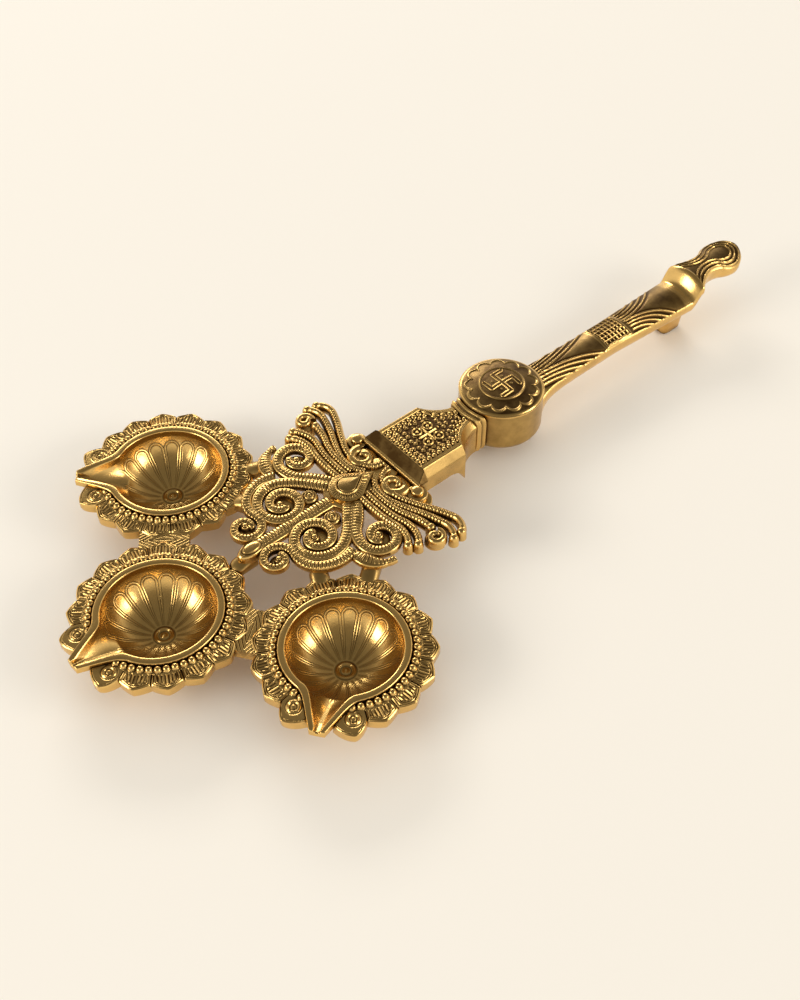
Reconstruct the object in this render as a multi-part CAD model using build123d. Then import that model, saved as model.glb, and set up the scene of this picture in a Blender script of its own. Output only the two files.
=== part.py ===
from build123d import *
import math
import os

# Hand-held aarti lamp in cast brass: three spouted ghee cups in petal borders, a scrolled bracket,
# a riveted shield, a medallion on a hub and a carved bar handle with a curled-up tip and a foot.
# Millimetres. Built with the front cup's axis at x = 0 and the floor at z = 0, then centred.

# Cups
rim_height = 16.0
cup_band_radius = 19.0
cup_band_width = 2.3
cup_band_height = 2.2
cup_band_ledge = 1.2
cup_band_round = 0.7
cup_bowl_depth = 13.0
cup_bowl_bulge = 3.3
cup_base_radius = 8.5
cup_outside_bulge = 2.0
cup_fit_gap = 0.15
boss_radius = 2.8
boss_height = 0.7
boss_dot_radius = 1.2

# Pouring spouts
spout_length = 9.8
spout_root_angle = 28.5
spout_belly = 1.2
spout_tip_half_width = 2.3
spout_lip_share = 0.65
spout_root_round = 4.0
spout_floor_depth = 7.5
spout_tip_depth = 1.2
spout_wall = 2.2
spout_wall_angle = 8.0

# Petal borders
border_width = 5.8
border_thickness = 3.0
border_edge_drop = 1.0
petal_rise = 2.0
petal_fullness = 0.5
petals_each_side = 7
petal_pitch = 21.5
petal_first_angle = 40.25
lobe_angle = 20.75
lobe_rise = 4.0

# Fan of three cups
cup_spacing_gap = 1.3
cup_fan_angle = 53.4
side_spout_turn = 36.0
bridge_width = 13.0
bridge_round = 3.0

# Scrolled bracket, in its own frame: x from the front border, y to the left
bracket_length = 59.0
bracket_foot_gap = 2.2
bracket_drop = 1.5
bracket_plate_height = 2.5
scroll_width = 3.4
small_scroll_width = 2.8
scroll_height = 3.2
plume_width = 2.7
plume_height = 3.8
strand_shoulder = 0.9
link_width = 4.0
link_depth = 3.7
rib_width = 4.2
rib_reach = 37.0
bud_radius = 3.4
bud_x = 6.0
rosette_radius = 2.9
rosette_eye = (31.8, 5.6)
inner_scroll = dict(
    root=(39.0, 4.6), heading=128.0, eye=(24.2, 8.9), entry=60.0, outer=7.9, inner=2.1, quarters=7, hand=1,
    width=scroll_width,
)
outer_scroll = dict(
    root=(41.0, 5.8), heading=120.0, eye=(38.0, 20.1), entry=180.0, outer=5.9, inner=2.1, quarters=5, hand=-1,
    width=scroll_width,
)
small_scroll = dict(
    root=(28.6, 19.4), heading=158.0, eye=(9.7, 8.4), entry=14.0, outer=5.0, inner=1.8, quarters=5, hand=-1,
    width=small_scroll_width,
)
small_scroll_link = (17.0, 17.6)
leaf_scroll_link = (30.6, 26.0)
leaf_link_start = (28.4, 18.2)
leaf_link_end = (36.6, 29.6)
leaf_link_outer_bow = 5.0
leaf_link_inner_bow = 0.6
root_plate_plan = [(35.0, 2.0), (37.0, 6.0), (41.0, 7.4), (47.0, 7.2), (53.0, 6.4), (60.0, 4.4)]
plume_routes = [
    [(43.4, 5.0), (43.4, 13.0), (44.4, 20.5), (42.0, 29.0)],
    [(45.8, 5.0), (45.8, 13.5), (47.1, 21.0), (44.6, 30.6)],
    [(48.2, 5.0), (48.0, 12.5), (50.0, 20.5), (51.8, 28.0)],
    [(51.2, 2.2), (48.9, 8.0), (49.8, 13.8), (52.8, 20.7), (56.0, 29.5), (54.2, 35.6)],
    [(57.5, 1.6), (53.0, 4.0), (51.8, 8.6), (53.0, 14.8), (56.5, 21.9), (59.8, 29.0), (57.6, 35.2)],
]
plume_headings = [92.0, 92.0, 97.0, 130.0, 186.0]
plume_end_radius = 1.9
plume_curl_eye = (50.4, 31.6)
plume_curl_radius = 3.5
shield_curl_eye = (55.0, 7.7)
shield_curl_radius = 5.2
shield_curl_height = 3.0
shield_curl_band = 2.0
shield_curl_start = 50.0
shield_curl_turn = 250.0

# Leaf on the bracket's root
leaf_start = 36.5
leaf_length = 16.0
leaf_half_width = 5.8
leaf_shoulder_angle = 70.0
leaf_height = 3.0
leaf_pin_radius = 1.5
leaf_pin_length = 1.8

# Rivets through the bracket's lugs and the shield's ears
rivet_setback = 1.0
rivet_spread = 14.6
rivet_radius = 1.1
rivet_head_radius = 2.1
rivet_head_height = 1.7
rivet_tail_radius = 1.7
rivet_tail_height = 0.7
rivet_gap = 0.1
lug_radius = 3.3

# Shield
shield_length = 33.8
shield_half_width = 12.8
shield_brow_half_width = 13.6
shield_brow_length = 4.5
shield_crown = 4.6
shield_edge = 1.5
shield_bevel = 2.0
shield_underside = 4.0
shield_deep_underside = 9.5
shield_flank_length = 9.7
shield_flank_hollow = 1.4
shield_throat_length = 7.8
shield_throat_hollow = 2.0
neck_half_width = 6.2
neck_length = 3.3
neck_crown = 3.6
panel_margin = 2.6
panel_sink = 0.4
tongue_length = 16.0
tongue_half_width = 6.0
ear_half_span = 19.5
ear_width = 8.6

# Collar on the shield's neck
collar_length = 3.7
collar_proud = 1.2
collar_ridge = 1.4
collar_groove = 0.6
collar_gap = 0.15

# Hub and medallion
hub_radius = 14.0
hub_depth = 10.8
hub_crown = 4.0
medallion_radius = 14.0
medallion_edge = 1.3
medallion_rise = 3.4
medallion_ring_radius = 7.3
medallion_ring_width = 1.0
medallion_ring_height = 0.5
medallion_stud_radius = 3.0
medallion_stud_length = 5.0
tenon_length = 4.5
tenon_half_width = 2.5
tenon_height = 6.0
tenon_gap = 0.15

# Bar handle
bar_length = 71.7
bar_crown = 0.9
bar_depth = 8.0
bar_crown_radius = 12.5
bar_crown_share = 0.9
bar_half_width = 6.3
bar_flare_half_width = 9.6
bar_flare_length = 9.0
bar_flare_hollow = 1.3
bar_waist = 0.2
bar_end_half_width = 8.0
ramp_run = 5.0
ramp_rise = 5.1
tip_length = 24.7
tip_shoulder_half_width = 8.3
tip_neck_x = 7.2
tip_neck_half_width = 5.0
tip_lobe_radius = 7.6
tip_lobe_start = 130.0

# Foot under the bar
foot_length = 10.0
foot_width = 8.0
foot_corner = 2.6
foot_setback = 2.5
foot_taper = 5.0
foot_stud_radius = 2.0
foot_stud_length = 3.0
stud_gap = 0.1

# Heights and stations worked out from the sizes above
seat_z = rim_height - cup_band_height
border_bottom = seat_z - border_thickness
valley_radius = cup_band_radius + border_width
tip_radius = valley_radius + petal_rise
lobe_tip_radius = valley_radius + lobe_rise
lobe_half_angle = petal_first_angle - petal_pitch / 2 - lobe_angle
bowl_radius = cup_band_radius - cup_band_ledge
cup_spacing = 2 * tip_radius + cup_spacing_gap
bracket_x = valley_radius + bracket_foot_gap
bracket_bottom = rim_height - bracket_drop
bracket_plate_top = bracket_bottom + bracket_plate_height
leaf_pin_x = leaf_start + leaf_half_width
neck_start = shield_length - neck_length
shield_corner = neck_start - shield_flank_length
shield_throat = shield_corner - shield_throat_length
shield_x = bracket_x + bracket_length
hub_x = shield_x + shield_length + hub_radius
hub_bottom = rim_height - hub_depth
hub_top = rim_height + hub_crown
collar_x = hub_x - medallion_radius - tenon_gap - collar_length
bar_x = hub_x + hub_radius
ramp_x = bar_x + bar_length
tip_x = ramp_x + ramp_run
bar_bottom = rim_height + bar_crown - bar_depth
end_x = tip_x + tip_length
front_x = -(cup_band_radius + spout_length)
centre_x = (front_x + end_x) / 2
tall = 4 * rim_height


def polar(radius, degrees):
    turn = math.radians(degrees)
    return (radius * math.cos(turn), radius * math.sin(turn))


def flip(point):
    return (point[0], -point[1])


def prism(face, bottom, top):
    return extrude(Pos(0, 0, bottom) * face, top - bottom)


def bowed(start, end, bow):
    """Arc between two points that stands off the straight line by bow, to the left of the way."""
    run = (end[0] - start[0], end[1] - start[1])
    chord = math.hypot(*run)
    middle = (
        start[0] + run[0] / 2 - run[1] / chord * bow,
        start[1] + run[1] / 2 + run[0] / chord * bow,
    )
    return ThreePointArc(start, middle, end)


def side_slab(points, half_width):
    """Solid from an outline in x and z, spread evenly to both sides of the lamp."""
    face = Plane.XZ * make_face(Polyline(*points, close=True))
    return extrude(face, half_width, both=True)


# Cups, drawn with the spout along +x


def spout_outline(inset, ahead=0):
    """Round band drawn out to a blunt spout; the lip thins towards the end."""
    radius = cup_band_radius - inset
    reach = cup_band_radius + spout_length - inset / 2 + ahead
    root = polar(radius, spout_root_angle - inset)
    tip = (reach, spout_tip_half_width - spout_lip_share * inset)
    belly = spout_belly * (1 - inset / (2 * cup_band_width))
    face = make_face(
        [
            ThreePointArc(root, (-radius, 0), flip(root)),
            bowed(flip(root), flip(tip), -belly),
            Line(flip(tip), tip),
            bowed(tip, root, -belly),
        ]
    )
    corners = [v for v in face.vertices() if v.X < (radius + reach) / 2]
    return fillet(corners, spout_root_round + inset)


def bowl(points):
    return revolve(Plane.XZ * make_face(points), Axis.Z)


def spout_body(inset, half_angle, drop, root_depth, tip_depth, ahead=0):
    """Fan of the spout's plan, filled from a slanting floor up to the given drop below the rim."""
    start = (cup_band_radius - cup_band_width) / 2
    reach = cup_band_radius + spout_length + ahead
    top = rim_height - drop
    floor = [
        (start, top),
        (reach, top),
        (reach, rim_height - tip_depth),
        (start, rim_height - root_depth),
    ]
    side = polar(2 * reach, half_angle)
    fan = make_face(Polyline((0, 0), flip(side), side, close=True))
    return prism(spout_outline(inset, ahead) & fan, 0, top) & side_slab(floor, cup_band_radius)


def make_cup():
    opening = cup_band_radius - cup_band_width
    floor_z = rim_height - cup_bowl_depth
    outside = bowl(
        [
            Line((0, 0), (cup_base_radius, 0)),
            bowed((cup_base_radius, 0), (bowl_radius, seat_z), -cup_outside_bulge),
            Line((bowl_radius, seat_z), (0, seat_z)),
            Line((0, seat_z), (0, 0)),
        ]
    )
    hollow = bowl(
        [
            Line((0, rim_height), (opening, rim_height)),
            Line((opening, rim_height), (opening, seat_z)),
            bowed((opening, seat_z), (0, floor_z), cup_bowl_bulge),
            Line((0, floor_z), (0, rim_height)),
        ]
    )
    channel = spout_body(
        cup_band_width, spout_root_angle, 0, spout_floor_depth, spout_tip_depth, ahead=cup_band_width
    )
    root_depth = spout_floor_depth + spout_wall
    tip_depth = max(cup_band_height, spout_tip_depth + spout_wall / 2)
    keel_angle = spout_root_angle + spout_wall_angle
    keel = spout_body(cup_band_ledge, keel_angle, cup_band_height, root_depth, tip_depth)
    band = prism(spout_outline(0), seat_z, rim_height)
    band = fillet(band.faces().sort_by(Axis.Z)[-1].edges(), cup_band_round)
    boss = Pos(0, 0, floor_z) * Cylinder(
        boss_radius, 2 * boss_height, align=(Align.CENTER, Align.CENTER, Align.CENTER)
    )
    dot = Pos(0, 0, floor_z + boss_height) * Sphere(boss_dot_radius)
    return (outside + keel + band) - hollow - channel + (boss + dot)


# Petal borders, drawn with the spout along +x


def petal_outline():
    """Filled plan of a border: pointed petals round the cup and a longer lobe beside the spout."""
    petals = [(lobe_angle, lobe_half_angle, lobe_tip_radius)]
    for petal in range(2 * petals_each_side):
        petals.append((petal_first_angle + petal * petal_pitch, petal_pitch / 2, tip_radius))
    petals.append((360 - lobe_angle, lobe_half_angle, lobe_tip_radius))
    arcs = []
    for angle, half, reach in petals:
        middle_radius = (valley_radius + reach) / 2 + petal_fullness
        before = polar(valley_radius, angle - half)
        tip = polar(reach, angle)
        after = polar(valley_radius, angle + half)
        arcs.append(ThreePointArc(before, polar(middle_radius, angle - half / 2), tip))
        arcs.append(ThreePointArc(tip, polar(middle_radius, angle + half / 2), after))
    mouth = polar(valley_radius, lobe_angle - lobe_half_angle)
    closing = Polyline(flip(mouth), (0, 0), mouth)
    return make_face(arcs + closing.edges())


def make_border(plan):
    """Petal plate that slopes down to its tips, bored to take the cup under its band."""
    bore = cup_band_ledge - cup_fit_gap
    wide = lobe_tip_radius + petal_rise
    edge_z = seat_z - border_edge_drop * (wide - cup_band_radius) / (tip_radius - cup_band_radius)
    section = Polyline(
        (bowl_radius / 2, border_bottom), (bowl_radius / 2, seat_z), (cup_band_radius, seat_z),
        (wide, edge_z), (wide, border_bottom), close=True,
    )
    plate = revolve(Plane.XZ * make_face(section), Axis.Z)
    return (prism(plan, border_bottom, seat_z) & plate) - prism(spout_outline(bore), 0, rim_height)


# Where the three cups stand: centre and the way the spout points

side_x, side_y = polar(cup_spacing, cup_fan_angle)
stations = {
    "front": Pos(0, 0, 0) * Rot(0, 0, 180),
    "left": Pos(side_x, side_y, 0) * Rot(0, 0, 180 - side_spout_turn),
    "right": Pos(side_x, -side_y, 0) * Rot(0, 0, 180 + side_spout_turn),
}


def make_bridge(side):
    """Flat web between the front border and a side border."""
    web = Rot(0, 0, side * cup_fan_angle) * Pos(cup_spacing / 2, 0) * RectangleRounded(
        2 * (tip_radius - cup_band_radius), bridge_width, bridge_round
    )
    return prism(web, border_bottom, seat_z - border_edge_drop / 2)


# Scrolled bracket: strands along chains of arcs, each arc given as
# (centre, radius, start angle, turn)


def arc_from(start, heading, end):
    """Arc that leaves start along heading and ends at end."""
    normal = polar(1, heading + 90)
    run = (end[0] - start[0], end[1] - start[1])
    across = run[0] * normal[0] + run[1] * normal[1]
    radius = (run[0] ** 2 + run[1] ** 2) / (2 * across)
    centre = (start[0] + radius * normal[0], start[1] + radius * normal[1])
    begin = math.degrees(math.atan2(start[1] - centre[1], start[0] - centre[0]))
    finish = math.degrees(math.atan2(end[1] - centre[1], end[0] - centre[0]))
    turn = (finish - begin) % 360
    if radius < 0:
        turn -= 360
    return (centre, abs(radius), begin, turn)


def biarc(start, heading, end, end_heading):
    """Two arcs that join a point and heading to another point and heading."""
    leave = polar(1, heading)
    arrive = polar(1, end_heading)
    run = (end[0] - start[0], end[1] - start[1])
    total = run[0] * (leave[0] + arrive[0]) + run[1] * (leave[1] + arrive[1])
    spread = 2 * (1 - leave[0] * arrive[0] - leave[1] * arrive[1])
    reach = (math.sqrt(total**2 + spread * (run[0] ** 2 + run[1] ** 2)) - total) / spread
    joint = (
        (start[0] + end[0] + reach * (leave[0] - arrive[0])) / 2,
        (start[1] + end[1] + reach * (leave[1] - arrive[1])) / 2,
    )
    first = arc_from(start, heading, joint)
    turned = heading + first[3]
    return [first, arc_from(joint, turned, end)]


def through(points, heading):
    """Chain of smoothly joined arcs through a few points."""
    arcs = []
    for start, end in zip(points, points[1:]):
        arc = arc_from(start, heading, end)
        heading += arc[3]
        arcs.append(arc)
    return arcs


def spiral(eye, entry, outer, inner, quarters, hand):
    """Quarter arcs that wind in round an eye; hand is 1 to the left and -1 to the right."""
    arcs = []
    point = (eye[0] + polar(outer, entry)[0], eye[1] + polar(outer, entry)[1])
    for quarter in range(quarters):
        radius = outer + (inner - outer) * quarter / (quarters - 1)
        angle = entry + hand * 90 * quarter
        inward = polar(radius, angle)
        centre = (point[0] - inward[0], point[1] - inward[1])
        arcs.append((centre, radius, angle, hand * 90))
        end = polar(radius, angle + hand * 90)
        point = (centre[0] + end[0], centre[1] + end[1])
    return arcs


def strand(arcs, width, height):
    """Flat-bottomed strand with a chamfered crown, following a chain of arcs."""
    low = bracket_bottom
    high = bracket_bottom + height
    half = width / 2
    solids = []
    for centre, radius, begin, turn in arcs:
        first = min(begin, begin + turn)
        out = polar(1, first)
        plane = Plane(origin=(*centre, 0), x_dir=(*out, 0), z_dir=(out[1], -out[0], 0))
        section = Polyline(
            (radius - half, low), (radius + half, low),
            (radius + half, high - strand_shoulder), (radius + half / 2, high),
            (radius - half / 2, high), (radius - half, high - strand_shoulder), close=True,
        )
        axis = Axis((*centre, 0), (0, 0, 1))
        solids.append(revolve(plane * make_face(section), axis, abs(turn)))
    return solids


def button(spot, radius, height):
    """Round boss with a chamfered top, standing on the bracket's underside."""
    solid = prism(Pos(*spot) * Circle(radius), bracket_bottom, bracket_bottom + height)
    return chamfer(solid.faces().sort_by(Axis.Z)[-1].edges(), min(strand_shoulder, radius / 2))


def scroll(root, heading, eye, entry, outer, inner, quarters, hand, width):
    """Strand from a root that winds into a spiral and ends in a button."""
    coil = spiral(eye, entry, outer, inner, quarters, hand)
    start = polar(outer, entry)
    arm = biarc(root, heading, (eye[0] + start[0], eye[1] + start[1]), entry + hand * 90)
    heart = button(coil[-1][0], coil[-1][1] - width / 4, scroll_height + strand_shoulder / 2)
    return strand(arm + coil, width, scroll_height) + [heart]


def link(spot, target):
    """Spoke that runs from a strand towards a cup, to be trimmed against its border."""
    run = (target[0] - spot[0], target[1] - spot[1])
    length = math.hypot(*run)
    heading = math.degrees(math.atan2(run[1], run[0]))
    bar = Pos(*spot) * Rot(0, 0, heading) * Pos(length / 2, 0) * Rectangle(length, link_width)
    return prism(bar, bracket_bottom - link_depth, bracket_bottom + bracket_plate_height / 2)


def make_half_bracket(cup):
    """Everything on the left of the bracket's rib; cup is the left cup's centre in this frame."""
    solids = []
    for shape in (inner_scroll, outer_scroll, small_scroll):
        solids += scroll(**shape)
    for route, heading in zip(plume_routes, plume_headings):
        solids += strand(through(route, heading), plume_width, plume_height)
        solids.append(button(route[-1], plume_end_radius, plume_height))
    solids.append(button(plume_curl_eye, plume_curl_radius, plume_height))
    solids.append(button(rosette_eye, rosette_radius, scroll_height))
    band = [(shield_curl_eye, shield_curl_radius, shield_curl_start, shield_curl_turn)]
    solids += strand(band, shield_curl_band, plume_height)
    inside = shield_curl_radius - shield_curl_band / 4
    solids.append(button(shield_curl_eye, inside, shield_curl_height))
    lug = (bracket_length - rivet_setback, rivet_spread)
    solids.append(prism(Pos(*lug) * Circle(lug_radius), bracket_bottom, bracket_plate_top))
    leaf = make_face(
        [
            bowed(leaf_link_start, leaf_link_end, leaf_link_outer_bow),
            bowed(leaf_link_end, leaf_link_start, -leaf_link_inner_bow),
        ]
    )
    solids.append(prism(leaf, bracket_bottom, bracket_plate_top))
    solids.append(link(small_scroll_link, cup))
    solids.append(link(leaf_scroll_link, cup))
    return solids


def make_bracket(plans, shield_plan):
    cup = (side_x - bracket_x, side_y)
    left = make_half_bracket(cup)
    right = [mirror(solid, about=Plane.XZ) for solid in left]
    plate = root_plate_plan + [flip(point) for point in reversed(root_plate_plan)]
    centre = [
        prism(make_face(Polyline(*plate, close=True)), bracket_bottom, bracket_plate_top),
        button((bud_x, 0), bud_radius, scroll_height),
        prism(
            Pos(rib_reach / 2, 0) * Rectangle(rib_reach, rib_width),
            bracket_bottom, bracket_bottom + bracket_plate_height,
        ),
        link((bud_x, 0), (-bracket_x, 0)),
    ]
    body = Pos(bracket_x, 0, 0) * (centre[0] + centre[1:] + left + right)
    for plan in plans:
        body -= prism(plan, 0, tall)
    body -= prism(shield_plan, 0, tall)
    for spot in rivet_spots():
        body -= Pos(*spot, bracket_bottom) * Cylinder(rivet_radius + rivet_gap, tall)
    seat = prism(leaf_outline(), bracket_plate_top, tall)
    hole = prism(Pos(leaf_pin_x, 0) * Circle(leaf_pin_radius + stud_gap), 0, tall)
    return body - Pos(bracket_x, 0, 0) * (seat + hole)


def leaf_outline():
    """Plan of the leaf: a round end towards the cups and a point towards the handle."""
    shoulder = polar(leaf_half_width, leaf_shoulder_angle)
    shoulder = (leaf_pin_x + shoulder[0], shoulder[1])
    point = (leaf_start + leaf_length, 0)
    return make_face(
        [
            ThreePointArc(shoulder, (leaf_start, 0), flip(shoulder)),
            Line(flip(shoulder), point),
            Line(point, shoulder),
        ]
    )


def make_leaf():
    """Domed pointed leaf with a pin into the bracket's root plate."""
    dome = leaf_length**2 / leaf_height / 4
    ball = Pos(leaf_pin_x, 0, bracket_plate_top + leaf_height - dome) * Sphere(dome)
    body = prism(leaf_outline(), bracket_plate_top, bracket_plate_top + leaf_height) & ball
    pin = prism(
        Pos(leaf_pin_x, 0) * Circle(leaf_pin_radius),
        bracket_plate_top - leaf_pin_length, bracket_plate_top + leaf_height / 2,
    )
    return Pos(bracket_x, 0, 0) * (body + pin)


def rivet_spots():
    x = shield_x - rivet_setback
    return [(x, rivet_spread), (x, -rivet_spread)]


def make_rivet():
    """Domed head on the lug, shank through lug and ear, peened tail below."""
    low = rim_height - shield_underside
    shank = prism(Circle(rivet_radius), low, bracket_plate_top)
    ball_radius = (rivet_head_radius**2 + rivet_head_height**2) / (2 * rivet_head_height)
    ball = Pos(0, 0, bracket_plate_top + rivet_head_height - ball_radius) * Sphere(ball_radius)
    head = ball & prism(Circle(2 * rivet_head_radius), bracket_plate_top, tall)
    tail = prism(Circle(rivet_tail_radius), low - rivet_tail_height, low)
    return shank + head + tail


# Shield


def shield_outline():
    """Plan of the shield: a brow, straight sides and hollow flanks down to the neck."""
    half = [
        (0, shield_brow_half_width),
        (shield_brow_length, shield_brow_half_width),
        (shield_brow_length, shield_half_width),
        (shield_corner, shield_half_width),
    ]
    corner = half[-1]
    neck = (neck_start, neck_half_width)
    end = (shield_length + hub_radius / 2, neck_half_width)
    upper = [Polyline(*half), bowed(corner, neck, -shield_flank_hollow), Line(neck, end)]
    lower = [Polyline(*[flip(point) for point in half])]
    lower += [bowed(flip(corner), flip(neck), shield_flank_hollow), Line(flip(neck), flip(end))]
    ends = [Line(half[0], flip(half[0])), Line(end, flip(end))]
    edges = [edge for line in upper + lower + ends for edge in line.edges()]
    return Pos(shield_x, 0) * make_face(edges)


def tenon(start, reach, gap):
    """Square peg between a piece and the hub."""
    z = (hub_bottom + hub_top) / 2
    size = Box(
        reach, 2 * (tenon_half_width + gap), tenon_height + 2 * gap,
        align=(Align.MIN, Align.CENTER, Align.CENTER),
    )
    return Pos(start, 0, z) * size


def make_shield(plan):
    crown = rim_height + shield_crown
    low = rim_height - shield_underside
    deep = rim_height - shield_deep_underside
    end = shield_length + hub_radius / 2
    outline = [
        Polyline(
            (0, low), (0, rim_height + shield_edge), (shield_brow_length, crown),
            (shield_corner, crown), (neck_start, rim_height + neck_crown),
            (end, rim_height + neck_crown), (end, deep), (shield_corner, deep),
        ),
        bowed((shield_corner, deep), (shield_throat, low), -shield_throat_hollow),
        Line((shield_throat, low), (0, low)),
    ]
    profile = make_face([edge for line in outline for edge in line.edges()])
    profile = extrude(Plane.XZ * profile, shield_brow_half_width, both=True)
    edge = rim_height + shield_edge
    slope = math.degrees(math.atan(shield_bevel / (crown - edge)))
    neck = Pos(shield_x + neck_start, 0) * Rectangle(
        end - neck_start, 2 * neck_half_width, align=(Align.MIN, Align.CENTER)
    )
    body = prism(plan, 0, edge) + extrude(Pos(0, 0, edge) * plan, crown - edge, taper=slope)
    body = (body + prism(neck, 0, crown)) & (Pos(shield_x, 0, 0) * profile)
    inner = offset(plan, -panel_margin)
    window = Pos(shield_x + shield_brow_length + panel_margin, 0) * Rectangle(
        neck_start - shield_brow_length - panel_margin, 2 * shield_half_width,
        align=(Align.MIN, Align.CENTER),
    )
    body -= prism(inner & window, crown - panel_sink, tall)
    tongue = Pos(shield_x - tongue_length, 0) * Rectangle(
        tongue_length, 2 * tongue_half_width, align=(Align.MIN, Align.CENTER)
    )
    ears = Pos(shield_x - rivet_setback, 0) * Rot(0, 0, 90) * SlotOverall(2 * ear_half_span, ear_width)
    body += prism(tongue + ears, low, bracket_bottom)
    body -= Pos(hub_x, 0, 0) * Cylinder(hub_radius, tall)
    body += tenon(hub_x - hub_radius - tenon_length, 2 * tenon_length, 0)
    for spot in rivet_spots():
        body -= Pos(*spot, 0) * Cylinder(rivet_radius + rivet_gap, tall)
    return body


# Collar, hub and medallion


def neck_face(grow):
    """Cross-section round the neck, grown evenly, in y and z."""
    high = rim_height + neck_crown + grow
    low = rim_height - shield_deep_underside - grow
    return Pos(0, (high + low) / 2) * Rectangle(2 * (neck_half_width + grow), high - low)


def make_collar():
    plane = Plane(origin=(collar_x, 0, 0), x_dir=(0, 1, 0), z_dir=(1, 0, 0))
    ridge = plane * fillet(neck_face(collar_proud).vertices(), collar_proud)
    core = plane * fillet(neck_face(collar_groove).vertices(), collar_groove)
    body = extrude(core, collar_length)
    body += extrude(ridge, collar_ridge)
    body += Pos(collar_length - collar_ridge, 0, 0) * extrude(ridge, collar_ridge)
    return body - extrude(plane * neck_face(collar_gap), collar_length)


def make_hub():
    body = Pos(hub_x, 0, 0) * prism(Circle(hub_radius), hub_bottom, hub_top)
    depth = tenon_length + tenon_gap
    body -= tenon(hub_x - hub_radius - tenon_length, depth + tenon_length, tenon_gap)
    body -= tenon(hub_x + hub_radius - depth, depth + tenon_length, tenon_gap)
    hole = prism(Circle(medallion_stud_radius + stud_gap), hub_top - medallion_stud_length - stud_gap, hub_top)
    return body - Pos(hub_x, 0, 0) * hole


def make_medallion():
    """Domed disc with a raised ring, on a stud that drops into the hub."""
    low = hub_top
    ball = (medallion_radius**2 + (medallion_rise - medallion_edge) ** 2) / (
        2 * (medallion_rise - medallion_edge)
    )
    dome = Pos(0, 0, low + medallion_rise - ball) * Sphere(ball)
    body = prism(Circle(medallion_radius), low, low + medallion_rise) & dome
    ring = Circle(medallion_ring_radius + medallion_ring_width / 2)
    ring -= Circle(medallion_ring_radius - medallion_ring_width / 2)
    raised = Pos(0, 0, low + medallion_rise - ball) * Sphere(ball + medallion_ring_height)
    body += prism(ring, low, low + 2 * medallion_rise) & raised
    body += prism(Circle(medallion_stud_radius), low - medallion_stud_length, low)
    return Pos(hub_x, 0, 0) * body


# Bar handle with its raised tip


def bar_section():
    """Blank cross-section in y and z with a rounded crown, wide enough to trim to the bar's plan."""
    half = bar_crown_share * bar_crown_radius
    crown = rim_height + bar_crown
    edge = crown - bar_crown_radius + math.sqrt(bar_crown_radius**2 - half**2)
    top = ThreePointArc((half, edge), (0, crown), (-half, edge))
    rest = Polyline((-half, edge), (-half, bar_bottom), (half, bar_bottom), (half, edge))
    return make_face(top.edges() + rest.edges())


def bar_outline():
    """Plan of the bar and of the tip: shoulder, neck and round lobe."""
    lobe_x = tip_x + tip_length - tip_lobe_radius
    meet = polar(tip_lobe_radius, tip_lobe_start)
    meet = (lobe_x + meet[0], meet[1])
    start = (hub_x + hub_radius / 2, bar_flare_half_width)
    flare = (hub_x + math.sqrt(hub_radius**2 - bar_flare_half_width**2), bar_flare_half_width)
    straight = (bar_x + bar_flare_length, bar_half_width)
    middle = ((bar_x + ramp_x) / 2, bar_half_width - bar_waist)
    ramp = (ramp_x, bar_end_half_width)
    shoulder = (tip_x, tip_shoulder_half_width)
    neck = (tip_x + tip_neck_x, tip_neck_half_width)
    points = (straight, middle, ramp, shoulder)
    upper = [Line(start, flare), bowed(flare, straight, -bar_flare_hollow), Polyline(*points)]
    lower = [Line(flip(start), flip(flare)), bowed(flip(flare), flip(straight), bar_flare_hollow)]
    lower.append(Polyline(*[flip(point) for point in points]))
    tip = [ThreePointArc(shoulder, neck, meet), ThreePointArc(flip(shoulder), flip(neck), flip(meet))]
    round_end = ThreePointArc(meet, (lobe_x + tip_lobe_radius, 0), flip(meet))
    lines = upper + lower + tip + [round_end, Line(start, flip(start))]
    return make_face([edge for line in lines for edge in line.edges()])


def make_bar():
    start = hub_x + hub_radius / 2
    plane = Plane(origin=(0, 0, 0), x_dir=(0, 1, 0), z_dir=(1, 0, 0))
    section = plane * bar_section()
    level = Pos(start, 0, 0) * extrude(section, ramp_x - start)
    low = Pos(ramp_x, 0, 0) * section
    high = Pos(tip_x, 0, ramp_rise) * section
    body = level + loft([low, high], ruled=True) + extrude(high, tip_length)
    body &= prism(bar_outline(), 0, tall)
    body -= Pos(hub_x, 0, 0) * Cylinder(hub_radius, tall)
    body += tenon(bar_x - tenon_length, 2 * tenon_length, 0)
    hole = prism(Circle(foot_stud_radius + stud_gap), bar_bottom, bar_bottom + foot_stud_length + stud_gap)
    return body - Pos(ramp_x - foot_setback, 0, 0) * hole


def make_foot():
    """Small tapering lug that carries the handle, with a stud up into the bar."""
    plan = RectangleRounded(foot_length, foot_width, foot_corner)
    body = extrude(Pos(0, 0, bar_bottom) * plan, -bar_bottom, taper=foot_taper)
    body += prism(Circle(foot_stud_radius), bar_bottom - foot_stud_length, bar_bottom + foot_stud_length)
    return Pos(ramp_x - foot_setback, 0, 0) * body


# Assembly

border_plan = petal_outline()
plans = {name: place * border_plan for name, place in stations.items()}
shield_plan = shield_outline()
cup = make_cup()
border = make_border(border_plan)

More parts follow.
